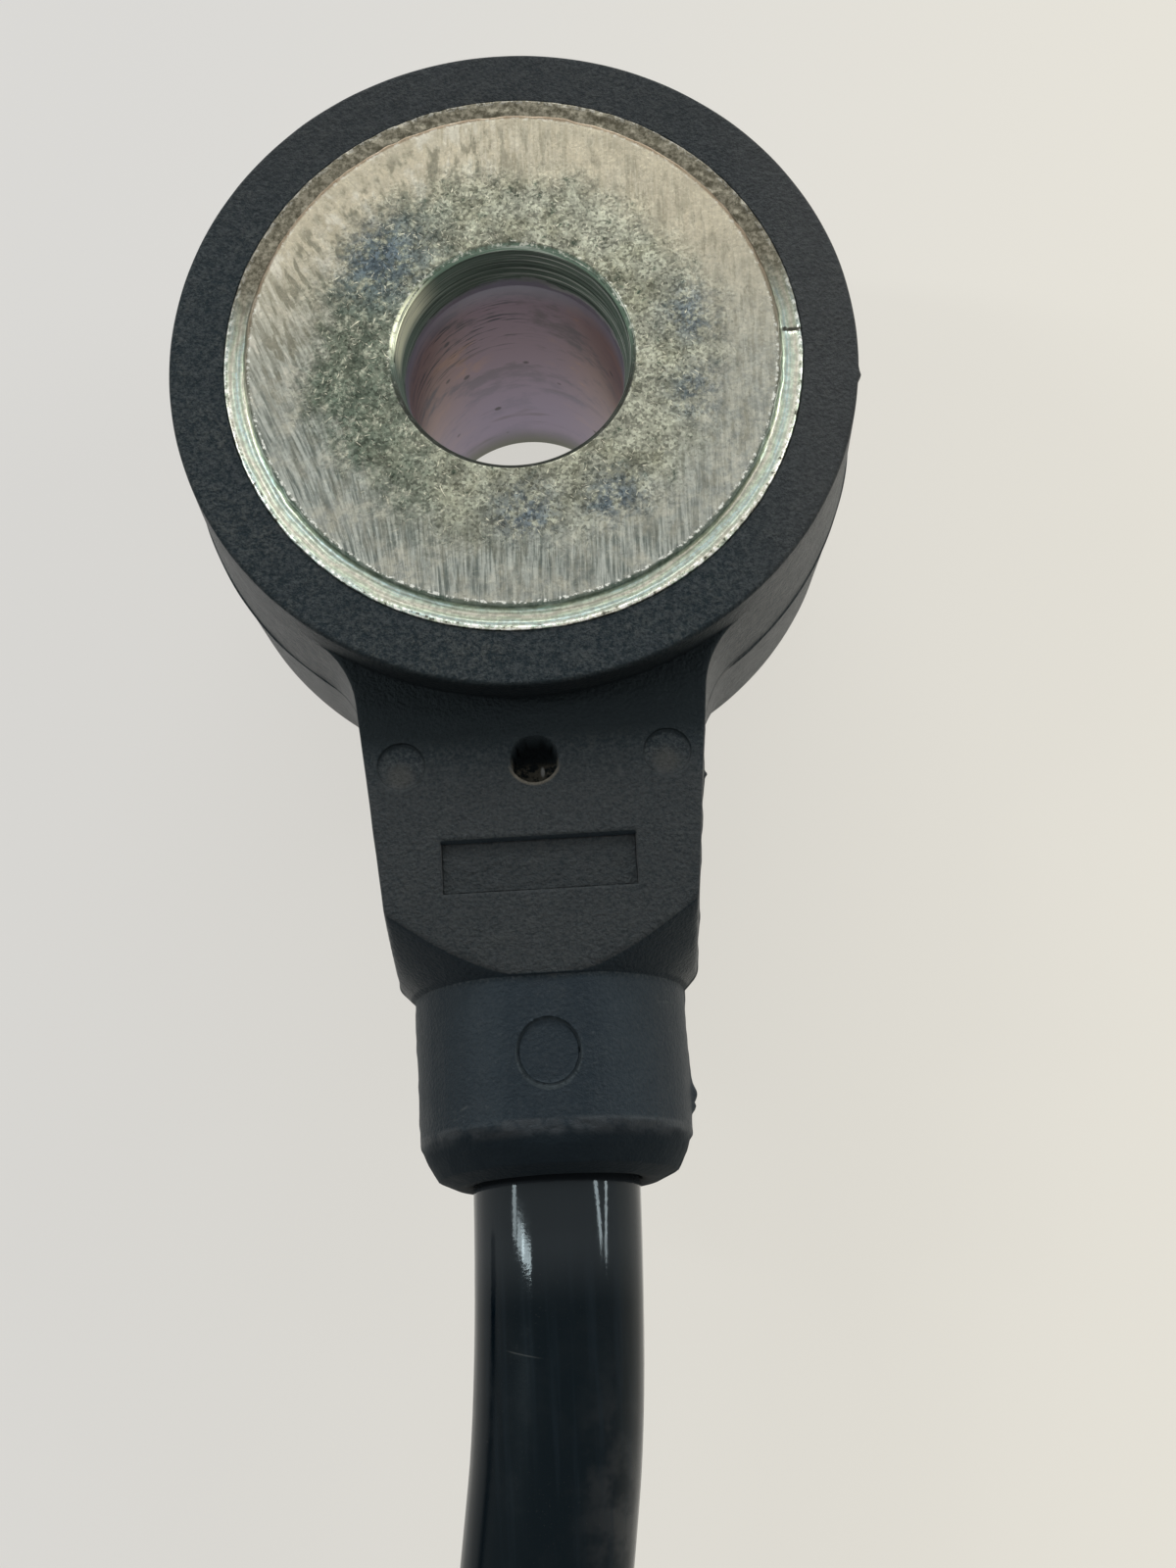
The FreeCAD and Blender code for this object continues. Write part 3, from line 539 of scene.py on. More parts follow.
def scratch_effect():
    """Fine straight scratches that run along Y after a turn about Z, as a value of about 0 to 1."""
    graph, given, out = new_effect(
        "Scratches", {"Turn": 0.0, "Density": 6.0, "Length": 2.5}, {"Value": "Float"}
    )
    inputs = {"Vector": graph.point, "Angle": given["Turn"]}
    turned = graph.put("VectorRotate", inputs, rotation_type="Z_AXIS").outputs[0]
    shortened = graph.math("DIVIDE", 1.0, given["Length"])
    scale = graph.put("CombineXYZ", {"X": given["Density"], "Y": shortened, "Z": 1.0}).outputs[0]
    stretched = graph.put("VectorMath", operation="MULTIPLY")
    graph.feed(stretched.inputs[0], turned)
    graph.feed(stretched.inputs[1], scale)
    graph.feed(out["Value"], graph.noise(1.0, 3.0, 0.6, stretched.outputs[0]))


def groove_effect():
    """Concentric lathe grooves: a wave over the distance from the axis, broken by noise."""
    graph, given, out = new_effect("Lathe Grooves", {"Coordinate": 0.0, "Pitch": 0.17}, {"Wave": "Float"})
    shift = graph.times(graph.noise(0.5, 3.0, 0.6), 2.0)
    phase = graph.times(graph.math("DIVIDE", given["Coordinate"], given["Pitch"]), 2 * math.pi)
    wave = graph.math("SINE", graph.sum(phase, shift))
    graph.feed(out["Wave"], graph.scaled(wave, 0.0, 1.0))


def new_material(name, **constants):
    """A material with a Principled shader whose plain inputs are set by name."""
    material = bpy.data.materials.new(name)
    material.use_nodes = True
    graph = Graph(material.node_tree)
    shader = material.node_tree.nodes["Principled BSDF"]
    for label, value in constants.items():
        graph.feed(shader.inputs[label.replace("_", " ")], value)
    return material, graph, shader


def add_relief(graph, shader, height, depth):
    """A bump whose height runs from 0 to 1 over the given depth in millimetres."""
    inputs = {"Height": height, "Distance": depth * MM, "Strength": 1.0}
    graph.feed(shader.inputs["Normal"], graph.put("Bump", inputs).outputs[0])


def parting_line(graph, wall):
    """The mould's parting line on the walls, which gapes where the neck meets the body."""
    wander = graph.times(graph.sum(graph.noise(0.35, 2.0, 0.5), -0.5), 0.5)
    line = graph.sum(graph.place["Height"], -PARTING, wander)
    gaping = graph.span(graph.distance((8.2, -11.2)), 2.4, 0.6)
    line = graph.math("DIVIDE", graph.size(line), graph.scaled(gaping, 1.0, 2.6))
    return graph.times(graph.span(line, 0.14, 0.05), wall)


def pressed_marks(graph, top):
    """The ejector marks on the neck and the pin hole between them, as masks: the marks' floors, the shade
    on the upper sides of all three and the light on their lower sides."""
    marks = shaded = lit = 0.0
    for across, radius in ((-MARK_X, 0.875), (MARK_X, 0.875), (0.0, 0.9)):
        whole = graph.times(graph.disc((across, MARK_Y), radius, 0.05), top)
        lowered = graph.times(graph.disc((across, MARK_Y - 0.1), radius, 0.12), top)
        shaded = graph.sum(shaded, graph.times(whole, graph.rest(lowered)))
        lit = graph.sum(lit, graph.times(lowered, graph.rest(whole)))
        marks = graph.sum(marks, graph.times(whole, 1.0 if across else 0.0))
    return marks, shaded, lit


def pin_hole(graph, top):
    """The pin hole, as masks: its inside, the debris in it, a glint in it and the dusty rim below it."""
    _, y, _ = graph.coordinates
    inside = graph.disc((0.0, MARK_Y), 0.88, 0.06)
    inside = graph.times(inside, graph.span(graph.place["Height"], 16.2, 15.9))
    debris = graph.span(graph.noise(4.0, 4.0, 0.7), 0.42, 0.56)
    debris = graph.times(debris, inside, graph.span(y, -15.2, -15.6))
    glint = graph.disc((0.26, -6.25), 0.07, 0.06, graph.stretched((1.0, 0.4, 1.0)))
    rim = graph.less(graph.disc((0.0, MARK_Y), 1.0, 0.1), graph.disc((0.0, MARK_Y), 0.86, 0.06))
    rim = graph.times(rim, graph.span(y, -15.6, -16.1), top, 0.6)
    return inside, debris, graph.times(glint, inside), rim


def outlet_mark(graph, top):
    """The round mark on the outlet's flat, as masks: its groove and the light below it."""
    narrow = graph.stretched((1.08, 1.0, 1.0))
    rings = []
    for outer, inner, lowered in ((1.24, 1.15, 0.0), (1.3, 1.24, 0.08)):
        whole = graph.disc((0.0, OUTLET_MARK_Y - lowered), outer, 0.06, narrow)
        within = graph.disc((0.0, OUTLET_MARK_Y), inner, 0.06, narrow)
        rings.append(graph.times(graph.less(whole, within), top))
    return rings


def moulding_material(colours):
    """Charcoal glass-filled plastic: matte spark grain, a smoother outlet, dust, pressed-in marks, a bare
    sunk panel and debris in the pin hole, with painted shade under the body's edge, on the bevel cone, on
    the outlet's left side and chamfer and in the marks, holes and grooves, painted light on the walls, the
    body's right side, the neck's face and the marks' lower sides, and a painted glint in the pin hole."""
    material, graph, shader = new_material(
        "housing plastic", Specular_IOR_Level=0.24, Specular_Tint=(0.72, 0.93, 1.0)
    )
    mix, span, times, noise, scaled = graph.mix, graph.span, graph.times, graph.noise, graph.scaled
    height = graph.place["Height"]
    x, y, _ = graph.coordinates
    beside = graph.size(x)

    # zones: the outlet, what faces up, the neck, its bevel cone, the body's edge over the neck, the walls,
    # the corner under that edge, the sunk panel and the outlet's chamfer
    outlet = span(y, -23.4, -23.8)
    matte = graph.rest(times(outlet, 0.5))
    top = span(height, 14.5, 15.2)
    neck = times(span(y, -14.5, -17.0), span(y, -23.5, -23.4), top)
    _, facing, upright = graph.parts(graph.put("TexCoord").outputs["Normal"])
    cone = times(span(facing, -0.4, -0.55), span(y, -17.0, -17.5), span(y, -23.75, -23.6))
    near_neck = times(span(y, -8.0, -10.0), span(beside, 9.0, 6.5))
    # the body's edge over the neck, whose wall is painted with shade
    shaded_front = times(span(height, 16.1, 16.4), near_neck, span(graph.place["Radius"], 12.9, 13.05))
    wall = times(span(graph.size(upright), 0.5, 0.2), span(y, -23.4, -23.3), graph.rest(shaded_front))
    # painted shadow in the corner under the body's edge
    corner = times(span(y, -15.3, -14.2), span(height, 16.6, 16.4), near_neck, top, 0.7)
    panel = times(span(beside, 3.56, 3.5), span(y, -20.4, -20.34), span(y, -18.5, -18.56), top)
    chamfer = span(y, -28.85, -29.1)

    # marks, wear and dust, and the masks of painted shade and painted light in and round the marks, holes
    # and grooves
    line = parting_line(graph, wall)
    marks, shaded, lit = pressed_marks(graph, top)
    hole, debris, glint, rim = pin_hole(graph, top)
    ring, under_ring = outlet_mark(graph, top)
    grain = graph.effect("Mould Grain", Density=7.0)
    patches = span(noise(0.35, 4.0, 0.6), 0.3, 0.7)
    flecks = noise(6.2, 3.0, 0.75)
    rubbed = graph.most(times(grain["Rubbed"], scaled(patches, 0.3, 0.75)), span(flecks, 0.61, 0.7))
    rub = mix(span(noise(0.7, 3.0, 0.6), 0.4, 0.65), colours.plastic_dust, (0.062, 0.065, 0.061))
    fine = span(noise(9.0, 3.0, 0.75), 0.4, 0.6)
    # a chalky mottle for the walls, lightened as painted light from the floor's bounce
    chalk_and_wall_light = mix(span(noise(2.6, 5.0, 0.8), 0.4, 0.62), (0.018, 0.021, 0.024), (0.075, 0.077, 0.077))
    settled = graph.most(graph.disc((-4.95, -15.85), 0.45, 0.5), graph.disc((4.85, -15.8), 0.45, 0.5))
    # painted shade in the pin hole, the outlet mark's groove, under the body's edge and on the marks' upper
    # sides; also the sunk panel's darker floor
    dark = graph.sum(
        times(panel, 0.45),
        times(hole, 0.9),
        times(ring, 0.85),
        graph.sum(corner, times(shaded_front, 0.7)),
        times(shaded, 0.8),
    )
    scuffs = span(graph.scratches(1.25, 5.0, 2.2), 0.66, 0.72)
    facets = noise(1.0, 1.0, 0.4, graph.stretched((1.1, 0.03, 1.1)))
    edge = times(span(y, -29.4, -29.0), span(y, -28.6, -28.75))
    shade = graph.cover(
        colours.plastic,
        (times(span(flecks, 0.41, 0.62), matte), (0.031, 0.036, 0.0375)),
        (times(rubbed, matte), rub),
        (times(outlet, 0.6), (0.014, 0.019, 0.0265)),
        # painted shade: the outlet darker on its left side
        (times(outlet, span(x, -2.2, -4.3), 0.9), (0.004, 0.008, 0.012)),
        (times(top, span(y, 3.0, 11.0), 0.45), (0.026, 0.023, 0.022)),
        # painted light: the right side of the body's face lighter
        (times(top, span(x, 6.5, 12.0), 0.5), (0.056, 0.052, 0.049)),
        # grain with painted light: lighter flecks on the neck's face, stronger away from the body's edge
        (times(neck, scaled(fine, 0.28, 0.72)), (0.056, 0.055, 0.054)),
        (graph.effect("Dust", Density=5.5, Amount=0.8)["Mask"], (0.11, 0.115, 0.12)),
        # painted light: the walls lightened, over a chalky mottle
        (times(wall, scaled(patches, 0.5, 0.9)), chalk_and_wall_light),
        # painted shade on the bevel cone, which faces away from the light
        (times(cone, 0.9), (0.0015, 0.004, 0.0075)),
        (times(line, 0.9), (0.0015, 0.002, 0.0025)),
        (times(settled, top, 0.5), (0.06, 0.056, 0.048)),
        (times(lit, 0.55), (0.07, 0.075, 0.075)),
        (times(under_ring, 0.5), (0.05, 0.06, 0.062)),
        (dark, (0.002, 0.003, 0.004)),
        (debris, (0.12, 0.11, 0.085)),
        (glint, (0.45, 0.45, 0.43)),
        (rim, (0.13, 0.11, 0.08)),
        (times(scuffs, outlet, span(noise(0.4, 2.0, 0.5), 0.45, 0.6), 0.5), (0.06, 0.066, 0.066)),
        (times(outlet, span(facets, 0.45, 0.6), 0.2), (0.003, 0.007, 0.013)),
        # painted shade on the outlet's chamfer
        (times(chamfer, 0.85), (0.0008, 0.0026, 0.005)),
        (times(edge, span(noise(0.9, 3.0, 0.6), 0.35, 0.6), 0.7), colours.plastic_dust),
    )
    graph.feed(shader.inputs["Base Color"], shade)

    roughness = scaled(noise(1.2, 3.0, 0.6), 0.56, 0.7)
    roughness = graph.sum(roughness, times(outlet, -0.12), times(wall, -0.22), times(chamfer, 0.3))
    graph.feed(shader.inputs["Roughness"], roughness)
    relief = graph.sum(
        times(grain["Relief"], matte, 1.1),
        times(facets, outlet, 0.7),
        times(marks, -1.4),
        times(ring, -0.5),
        times(line, 0.5),
        times(panel, noise(2.2, 3.0, 0.6), 1.2),
    )
    add_relief(graph, shader, relief, 0.1)
    return material


def contact_face(graph, colours, upper, broad, mottle):
    """The contact face: a dark grainy zone with short bright needles round the bolt hole, and a light zone
    with smears and streaks that is paler at its top, partly as painted light. Its colour, the dark zone's
    mask and its relief."""
    mix, span, times, noise, scaled = graph.mix, graph.span, graph.times, graph.noise, graph.scaled
    x, y, _ = graph.coordinates
    radius = graph.place["Radius"]
    inner = graph.less(radius, times(graph.less(broad, 0.5), 3.0))
    inner = span(graph.sum(inner, times(graph.less(mottle, 0.5), 2.6)), 8.9, 6.6)
    left = span(x, 1.0, -6.5)
    blue = 0.0
    for across, along, size in (
        (-4.9, 4.4, 3.4),
        (7.0, 1.2, 2.2),
        (7.1, -2.0, 2.2),
        (0.2, -6.6, 2.4),
        (3.6, -6.3, 2.4),
    ):
        blue = graph.most(blue, graph.disc((across, along), size / 2, size))
    dark = graph.cover(
        (0.34, 0.35, 0.28),
        (times(left, 0.95), colours.plating_dark),
        (times(span(noise(0.8, 4.0, 0.6), 0.42, 0.62), scaled(left, 1.0, 0.2)), (0.25, 0.255, 0.19)),
        (span(mottle, 0.5, 0.68), (0.34, 0.355, 0.28)),
        (span(mottle, 0.44, 0.3), (0.07, 0.095, 0.07)),
        (times(blue, span(mottle, 0.64, 0.44), 0.9), colours.plating_blue),
    )

    lean = scaled(span(x, -1.0, -9.0), 0.03, -0.38)
    calm = graph.most(span(noise(0.55, 3.0, 0.6), 0.42, 0.6), span(x, 4.5, 8.0))
    worn = mix(span(mottle, 0.4, 0.6), (0.3, 0.31, 0.28), (0.56, 0.54, 0.44))
    streaks = graph.cover(
        (0.095, 0.12, 0.11),
        (span(graph.scratches(lean, 7.0, 2.0), 0.36, 0.64), (0.52, 0.555, 0.51)),
        (times(calm, 0.65), worn),
    )
    smears = graph.scratches(lean, 2.6, 1.7)
    upper_left = times(span(x, 3.0, -3.0), span(y, -3.0, 1.0))
    smeared = times(span(smears, 0.5, 0.4), span(radius, 9.9, 9.3), scaled(upper_left, 0.45, 1.0))
    light = graph.cover(
        (0.4, 0.43, 0.39),
        # the light zone paler and warmer towards its top: its rubbed finish, and painted light from above
        # and behind
        (upper, colours.plating_light),
        (scaled(upper, 0.8, 0.25), streaks),
        (times(span(smears, 0.54, 0.64), upper_left, 0.7), (0.72, 0.7, 0.6)),
        (times(smeared, 0.75), (0.2, 0.195, 0.145)),
    )

    needles = 0.0
    for turns, density, length, low in (
        ((0.35, 1.35, 2.3), 12.0, 0.48, 0.62),
        ((0.9, -0.45), 6.0, 1.1, 0.68),
    ):
        for turn in turns:
            needles = graph.most(needles, span(graph.scratches(turn, density, length), low, 0.74))
    crystals = graph.put("SeparateColor", {"Color": graph.cells(10.0, "Color")}).outputs[0]
    fine = noise(7.0, 2.0, 0.6)
    clouded = span(noise(1.1, 4.0, 0.7), 0.36, 0.64)
    sparkle = times(scaled(crystals, 0.5, 1.45), scaled(clouded, 0.7, 1.2))
    sparkle = graph.put("CombineColor", {"Red": sparkle, "Green": sparkle, "Blue": sparkle}).outputs[0]
    face = mix(inner, light, dark)
    face = graph.cover(
        face,
        (scaled(inner, 0.2, 1.0), mix(1.0, face, sparkle, "MULTIPLY")),
        (times(needles, scaled(inner, 0.25, 0.9)), (0.8, 0.78, 0.62)),
        (times(span(fine, 0.4, 0.28), scaled(inner, 0.3, 0.8)), (0.09, 0.1, 0.08)),
    )
    grain = times(graph.sum(times(crystals, 0.7), fine), scaled(inner, 0.35, 1.0))
    return face, inner, graph.sum(grain, times(graph.scratches(lean, 9.0, 2.4), 0.8))


def turned_rim(graph, rough_rim, broad, mottle, chips):
    """The rim round the raised face: turned grooves with faint interference colours, rough and dull at its
    top, with one nick and a chipped border that carries painted glints."""
    mix, span, times, noise, scaled = graph.mix, graph.span, graph.times, graph.noise, graph.scaled
    _, y, _ = graph.coordinates
    radius, turn = graph.place["Radius"], graph.place["Turn"]
    films = graph.ramp(
        graph.math("FRACT", graph.sum(times(radius, 1.6), times(broad, 2.2), times(turn, 0.35))),
        (0.0, (0.57, 0.68, 0.55)),
        (0.25, (0.7, 0.66, 0.56)),
        (0.5, (0.55, 0.66, 0.5)),
        (0.75, (0.49, 0.64, 0.64)),
        (1.0, (0.57, 0.68, 0.55)),
    )
    wave = graph.effect("Lathe Grooves", Coordinate=radius, Pitch=0.12)["Wave"]
    dull = span(noise(5.0, 4.0, 0.7), 0.56, 0.44)
    speckled = mix(span(noise(4.6, 4.0, 0.75), 0.36, 0.68), (0.075, 0.07, 0.05), (0.24, 0.225, 0.175))
    nick = graph.size(graph.sum(y, times(mottle, 0.3), -0.63))
    nick = times(span(nick, 0.13, 0.05), span(graph.distance(NICK_PLACE), 0.5, 0.3))
    border = times(span(radius, 10.78, 10.88), scaled(rough_rim, 1.0, 0.15))
    return graph.cover(
        films,
        (times(wave, 0.55), (0.8, 0.82, 0.72)),
        (times(dull, 0.5), (0.3, 0.32, 0.26)),
        (rough_rim, speckled),
        (nick, (0.06, 0.06, 0.05)),
        # painted glints on the chipped border, then its dark chips
        (times(border, span(chips, 0.5, 0.56)), (0.96, 0.97, 0.92)),
        (times(border, span(chips, 0.42, 0.36)), (0.1, 0.1, 0.08)),
    )


def bolt_hole(graph, colours, mottle):
    """The bolt hole: mauve tarnish, brown at the sides, faint rings low down and dark marks under its
    entry, which carries painted highlights on its turning marks and at the step below it and a painted
    glint on its left. Its colour, the entry's mask and the entry's fine turning marks."""
    span, times, noise, scaled = graph.span, graph.times, graph.noise, graph.scaled
    x, y, _ = graph.coordinates
    turn, height = graph.place["Turn"], graph.place["Height"]

    def wound(turns, rises, detail, roughness):
        place = graph.put("CombineXYZ", {"X": times(turn, turns), "Y": times(height, rises)}).outputs[0]
        return noise(1.0, detail, roughness, place)

    threads = wound(0.5, 6.5, 4.0, 0.7)
    right_side = span(x, -1.5, 2.5)
    # painted glint on the entry's left side
    shine = times(span(y, -0.4, 1.0), span(y, 3.6, 2.4), span(height, 16.3, 17.0))
    entry = graph.cover(
        (0.15, 0.22, 0.17),
        (span(threads, 0.48, 0.36), (0.025, 0.045, 0.035)),
        # painted highlights on the turning marks, stronger on the right side
        (times(span(threads, 0.54, 0.62), scaled(right_side, 0.25, 0.9)), (0.85, 0.9, 0.82)),
        (times(shine, span(x, 0.0, -1.0), span(threads, 0.32, 0.46)), (0.97, 0.99, 0.72)),
    )
    side = graph.size(graph.math("SINE", graph.sum(turn, -math.pi / 2)))
    clouds = noise(0.8, 4.0, 0.65, graph.stretched((0.5, 0.5, 0.8)))
    low = span(height, 11.0, 3.0)
    rings = span(wound(0.9, 0.9, 3.0, 0.6), 0.56, 0.68)
    marks = span(wound(1.6, 3.4, 3.0, 0.7), 0.53, 0.62)
    dots = span(graph.cells(0.6, "Distance"), 0.12, 0.06)
    border = graph.sum(height, times(clouds, 1.2))
    grime = span(border, 16.15, 16.5)
    step = span(graph.size(graph.sum(border, -16.35)), 0.12, 0.04)
    mouth = times(span(height, 17.72, 17.8), span(y, 1.0, -1.5), scaled(mottle, 0.4, 1.2))
    bore = graph.cover(
        colours.bore_tint,
        (span(side, 0.3, 0.95), (0.37, 0.245, 0.215)),
        (span(clouds, 0.5, 0.66), (0.17, 0.14, 0.16)),
        (times(span(clouds, 0.46, 0.34), span(side, 0.2, 0.6)), (0.42, 0.27, 0.22)),
        (times(low, 0.7), (0.34, 0.3, 0.42)),
        (times(rings, low, 0.6), (0.2, 0.17, 0.2)),
        (span(height, 2.4, 0.3), (0.13, 0.14, 0.1)),
        (times(marks, span(height, 9.5, 11.5), scaled(span(x, 1.0, -1.0), 0.1, 0.95)), (0.06, 0.06, 0.08)),
        (times(dots, 0.85), (0.07, 0.06, 0.07)),
        (span(height, 13.8, 15.6), (0.38, 0.38, 0.45)),
        (grime, entry),
        # painted highlight on the step's edge, on the right side
        (times(step, right_side, 0.7), (0.5, 0.52, 0.5)),
        (mouth, (0.06, 0.055, 0.05)),
    )
    return bore, grime, threads


def plating_material(colours):
    """Zinc-plated turned steel: the mottled contact face, the turned rim round it with a lip at the face's
    edge, painted dark below as the step's shadow and edged with painted highlights, and the tarnished bolt
    hole with a burr at its mouth that carries painted glints."""
    material, graph, shader = new_material("zinc plating", Metallic=1.0)
    mix, span, times, noise, scaled = graph.mix, graph.span, graph.times, graph.noise, graph.scaled
    _, y, _ = graph.coordinates
    radius, height = graph.place["Radius"], graph.place["Height"]
    upper = span(y, -5.0, 6.0)
    rough_rim = times(span(y, -1.5, 4.0), span(radius, 10.1, 10.2))
    in_bore = span(radius, 4.72, 4.62)
    broad = noise(0.28, 3.0, 0.6)
    mottle = noise(2.3, 5.0, 0.75)
    chips = noise(4.5, 3.0, 0.7)
    face, inner, face_relief = contact_face(graph, colours, upper, broad, mottle)
    rim = turned_rim(graph, rough_rim, broad, mottle, chips)
    bore, grime, threads = bolt_hole(graph, colours, mottle)
    lip = times(span(radius, 9.98, 10.08), span(radius, 10.28, 10.18))
    # painted highlights, broken into beads, along the face's edge and stronger on its lower side
    edge_glints = times(span(radius, 9.93, 9.98), span(radius, 10.1, 10.05), span(chips, 0.52, 0.58))
    burr = times(span(radius, 4.8, 4.73), span(height, 17.8, 17.88))
    # painted glints on the burr
    glittering = times(burr, span(chips, 0.54, 0.62), scaled(span(y, -2.0, 2.0), 0.15, 0.7))
    metal = graph.cover(
        face,
        (span(radius, 10.16, 10.2), rim),
        # the lip dark green on its lower side as the step's painted shadow, brown on its upper side
        (times(lip, scaled(mottle, 0.3, 1.2)), mix(upper, (0.05, 0.08, 0.06), (0.2, 0.14, 0.09))),
        # painted highlights along the face's edge
        (times(edge_glints, scaled(upper, 0.9, 0.3)), (0.9, 0.92, 0.86)),
        (in_bore, bore),
        (times(burr, span(chips, 0.46, 0.4), 0.6), (0.1, 0.11, 0.08)),
        (glittering, (0.85, 0.86, 0.76)),
    )
    graph.feed(shader.inputs["Base Color"], metal)

    film = times(in_bore, graph.sum(0.15, times(grime, span(height, 17.75, 17.6), 0.5)))
    graph.feed(shader.inputs["Metallic"], graph.rest(film))
    roughness = mix(inner, (0.36, 0.36, 0.36), (0.47, 0.47, 0.47))
    roughness = graph.sum(roughness, times(rough_rim, 0.12), times(in_bore, -0.06), -0.02)
    graph.feed(shader.inputs["Roughness"], roughness)
    add_relief(graph, shader, mix(in_bore, face_relief, times(threads, grime, 1.5)), 0.012)
    return material


def lead_material(colours):
    """Glossy black jacket with a slightly wavy skin, smudges, brownish dust and a painted reflection just
    below the outlet.
    """
    material, graph, shader = new_material(
        "lead jacket", Specular_IOR_Level=0.14, Specular_Tint=(0.78, 0.95, 1.0)
    )
    span, times, noise = graph.span, graph.times, graph.noise
    across, along, _ = graph.coordinates
    smudge = span(noise(0.5, 4.0, 0.65), 0.45, 0.7)
    dusty = times(span(along, -36.0, -43.0), span(noise(0.6, 3.0, 0.6), 0.4, 0.62))
    dust = graph.effect("Dust", Density=9.0, Amount=0.45)["Mask"]
    scratch = graph.sum(along, times(across, 0.1), times(across, across, -0.06), 36.95)
    scratch = times(span(graph.size(scratch), 0.03, 0.01), span(across, -2.2, -1.8))
    shade = graph.cover(
        colours.lead,
        (times(smudge, 0.2), (0.012, 0.0135, 0.015)),
        (times(dusty, span(across, -0.5, 2.2), 0.7), (0.048, 0.048, 0.048)),
        (dust, (0.07, 0.066, 0.06)),
        (times(span(graph.scratches(0.0, 2.2, 14.0), 0.48, 0.7), 0.5), (0.007, 0.0125, 0.018)),
        # painted reflection: a pale haze on the jacket just below the outlet
        (times(span(along, -35.4, -32.5), 0.8), (0.029, 0.034, 0.038)),
        (times(scratch, span(across, -0.7, -1.4), 0.35), (0.12, 0.125, 0.12)),
    )
    graph.feed(shader.inputs["Base Color"], shade)
    roughness = graph.sum(0.06, times(smudge, 0.04), times(span(along, -34.5, -38.0), 0.14))
    graph.feed(shader.inputs["Roughness"], graph.sum(roughness, times(dust, 0.3)))
    pinched = graph.most(graph.sum(along, 34.8), 0.0)
    pinched = graph.sum(times(pinched, 0.02), times(pinched, pinched, 0.01))
    waves = times(noise(0.3, 2.0, 0.4), 0.02)
    fine = times(noise(7.0, 2.0, 0.5), graph.scaled(span(along, -36.0, -42.0), 0.0015, 0.0004))
    add_relief(graph, shader, graph.sum(waves, fine, times(pinched, -1.0)), 1.0)
    return material


def plug_material(colours):
    """Satin black plastic of the plug, with a fine grain and dust."""
    material, graph, shader = new_material("plug plastic", Specular_IOR_Level=0.42)
    grain = graph.effect("Mould Grain", Density=7.0)
    shade = graph.cover(
        colours.plug,
        (graph.times(grain["Rubbed"], 0.5), colours.plastic_dust),
        (graph.effect("Dust", Density=3.0, Amount=0.5)["Mask"], (0.14, 0.135, 0.12)),
    )
    graph.feed(shader.inputs["Base Color"], shade)
    graph.feed(shader.inputs["Roughness"], graph.scaled(graph.noise(0.8, 3.0, 0.6), 0.4, 0.56))
    add_relief(graph, shader, grain["Relief"], 0.012)
    return material


def plain_finish(name, shades, metallic, roughness, density, depth, stretch=(1.0, 1.0, 1.0)):
    """A finish for small and inner pieces: two shades over a noise that may run one way, and its relief."""
    material, graph, shader = new_material(name, Metallic=metallic)
    point = graph.stretched(stretch)
    texture = graph.noise(density, 4.0, 0.6, point)
    spots = graph.noise(density * 0.15, 3.0, 0.6, point)
    shade = graph.mix(graph.span(graph.sum(texture, graph.times(spots, 0.6)), 0.55, 1.05), *shades)
    graph.feed(shader.inputs["Base Color"], shade)
    graph.feed(shader.inputs["Roughness"], graph.scaled(spots, *roughness))
    add_relief(graph, shader, texture, depth)
    return material


# Pieces


class SENSOR_OT_effects(bpy.types.Operator):
    """Build the node groups that the finishes share"""

    bl_idname = "knock_sensor.effects"
    bl_label = "Shared effects"

    def execute(self, context):
        for build in (place_effect, grain_effect, dust_effect, scratch_effect, groove_effect):
            build()
        return {"FINISHED"}


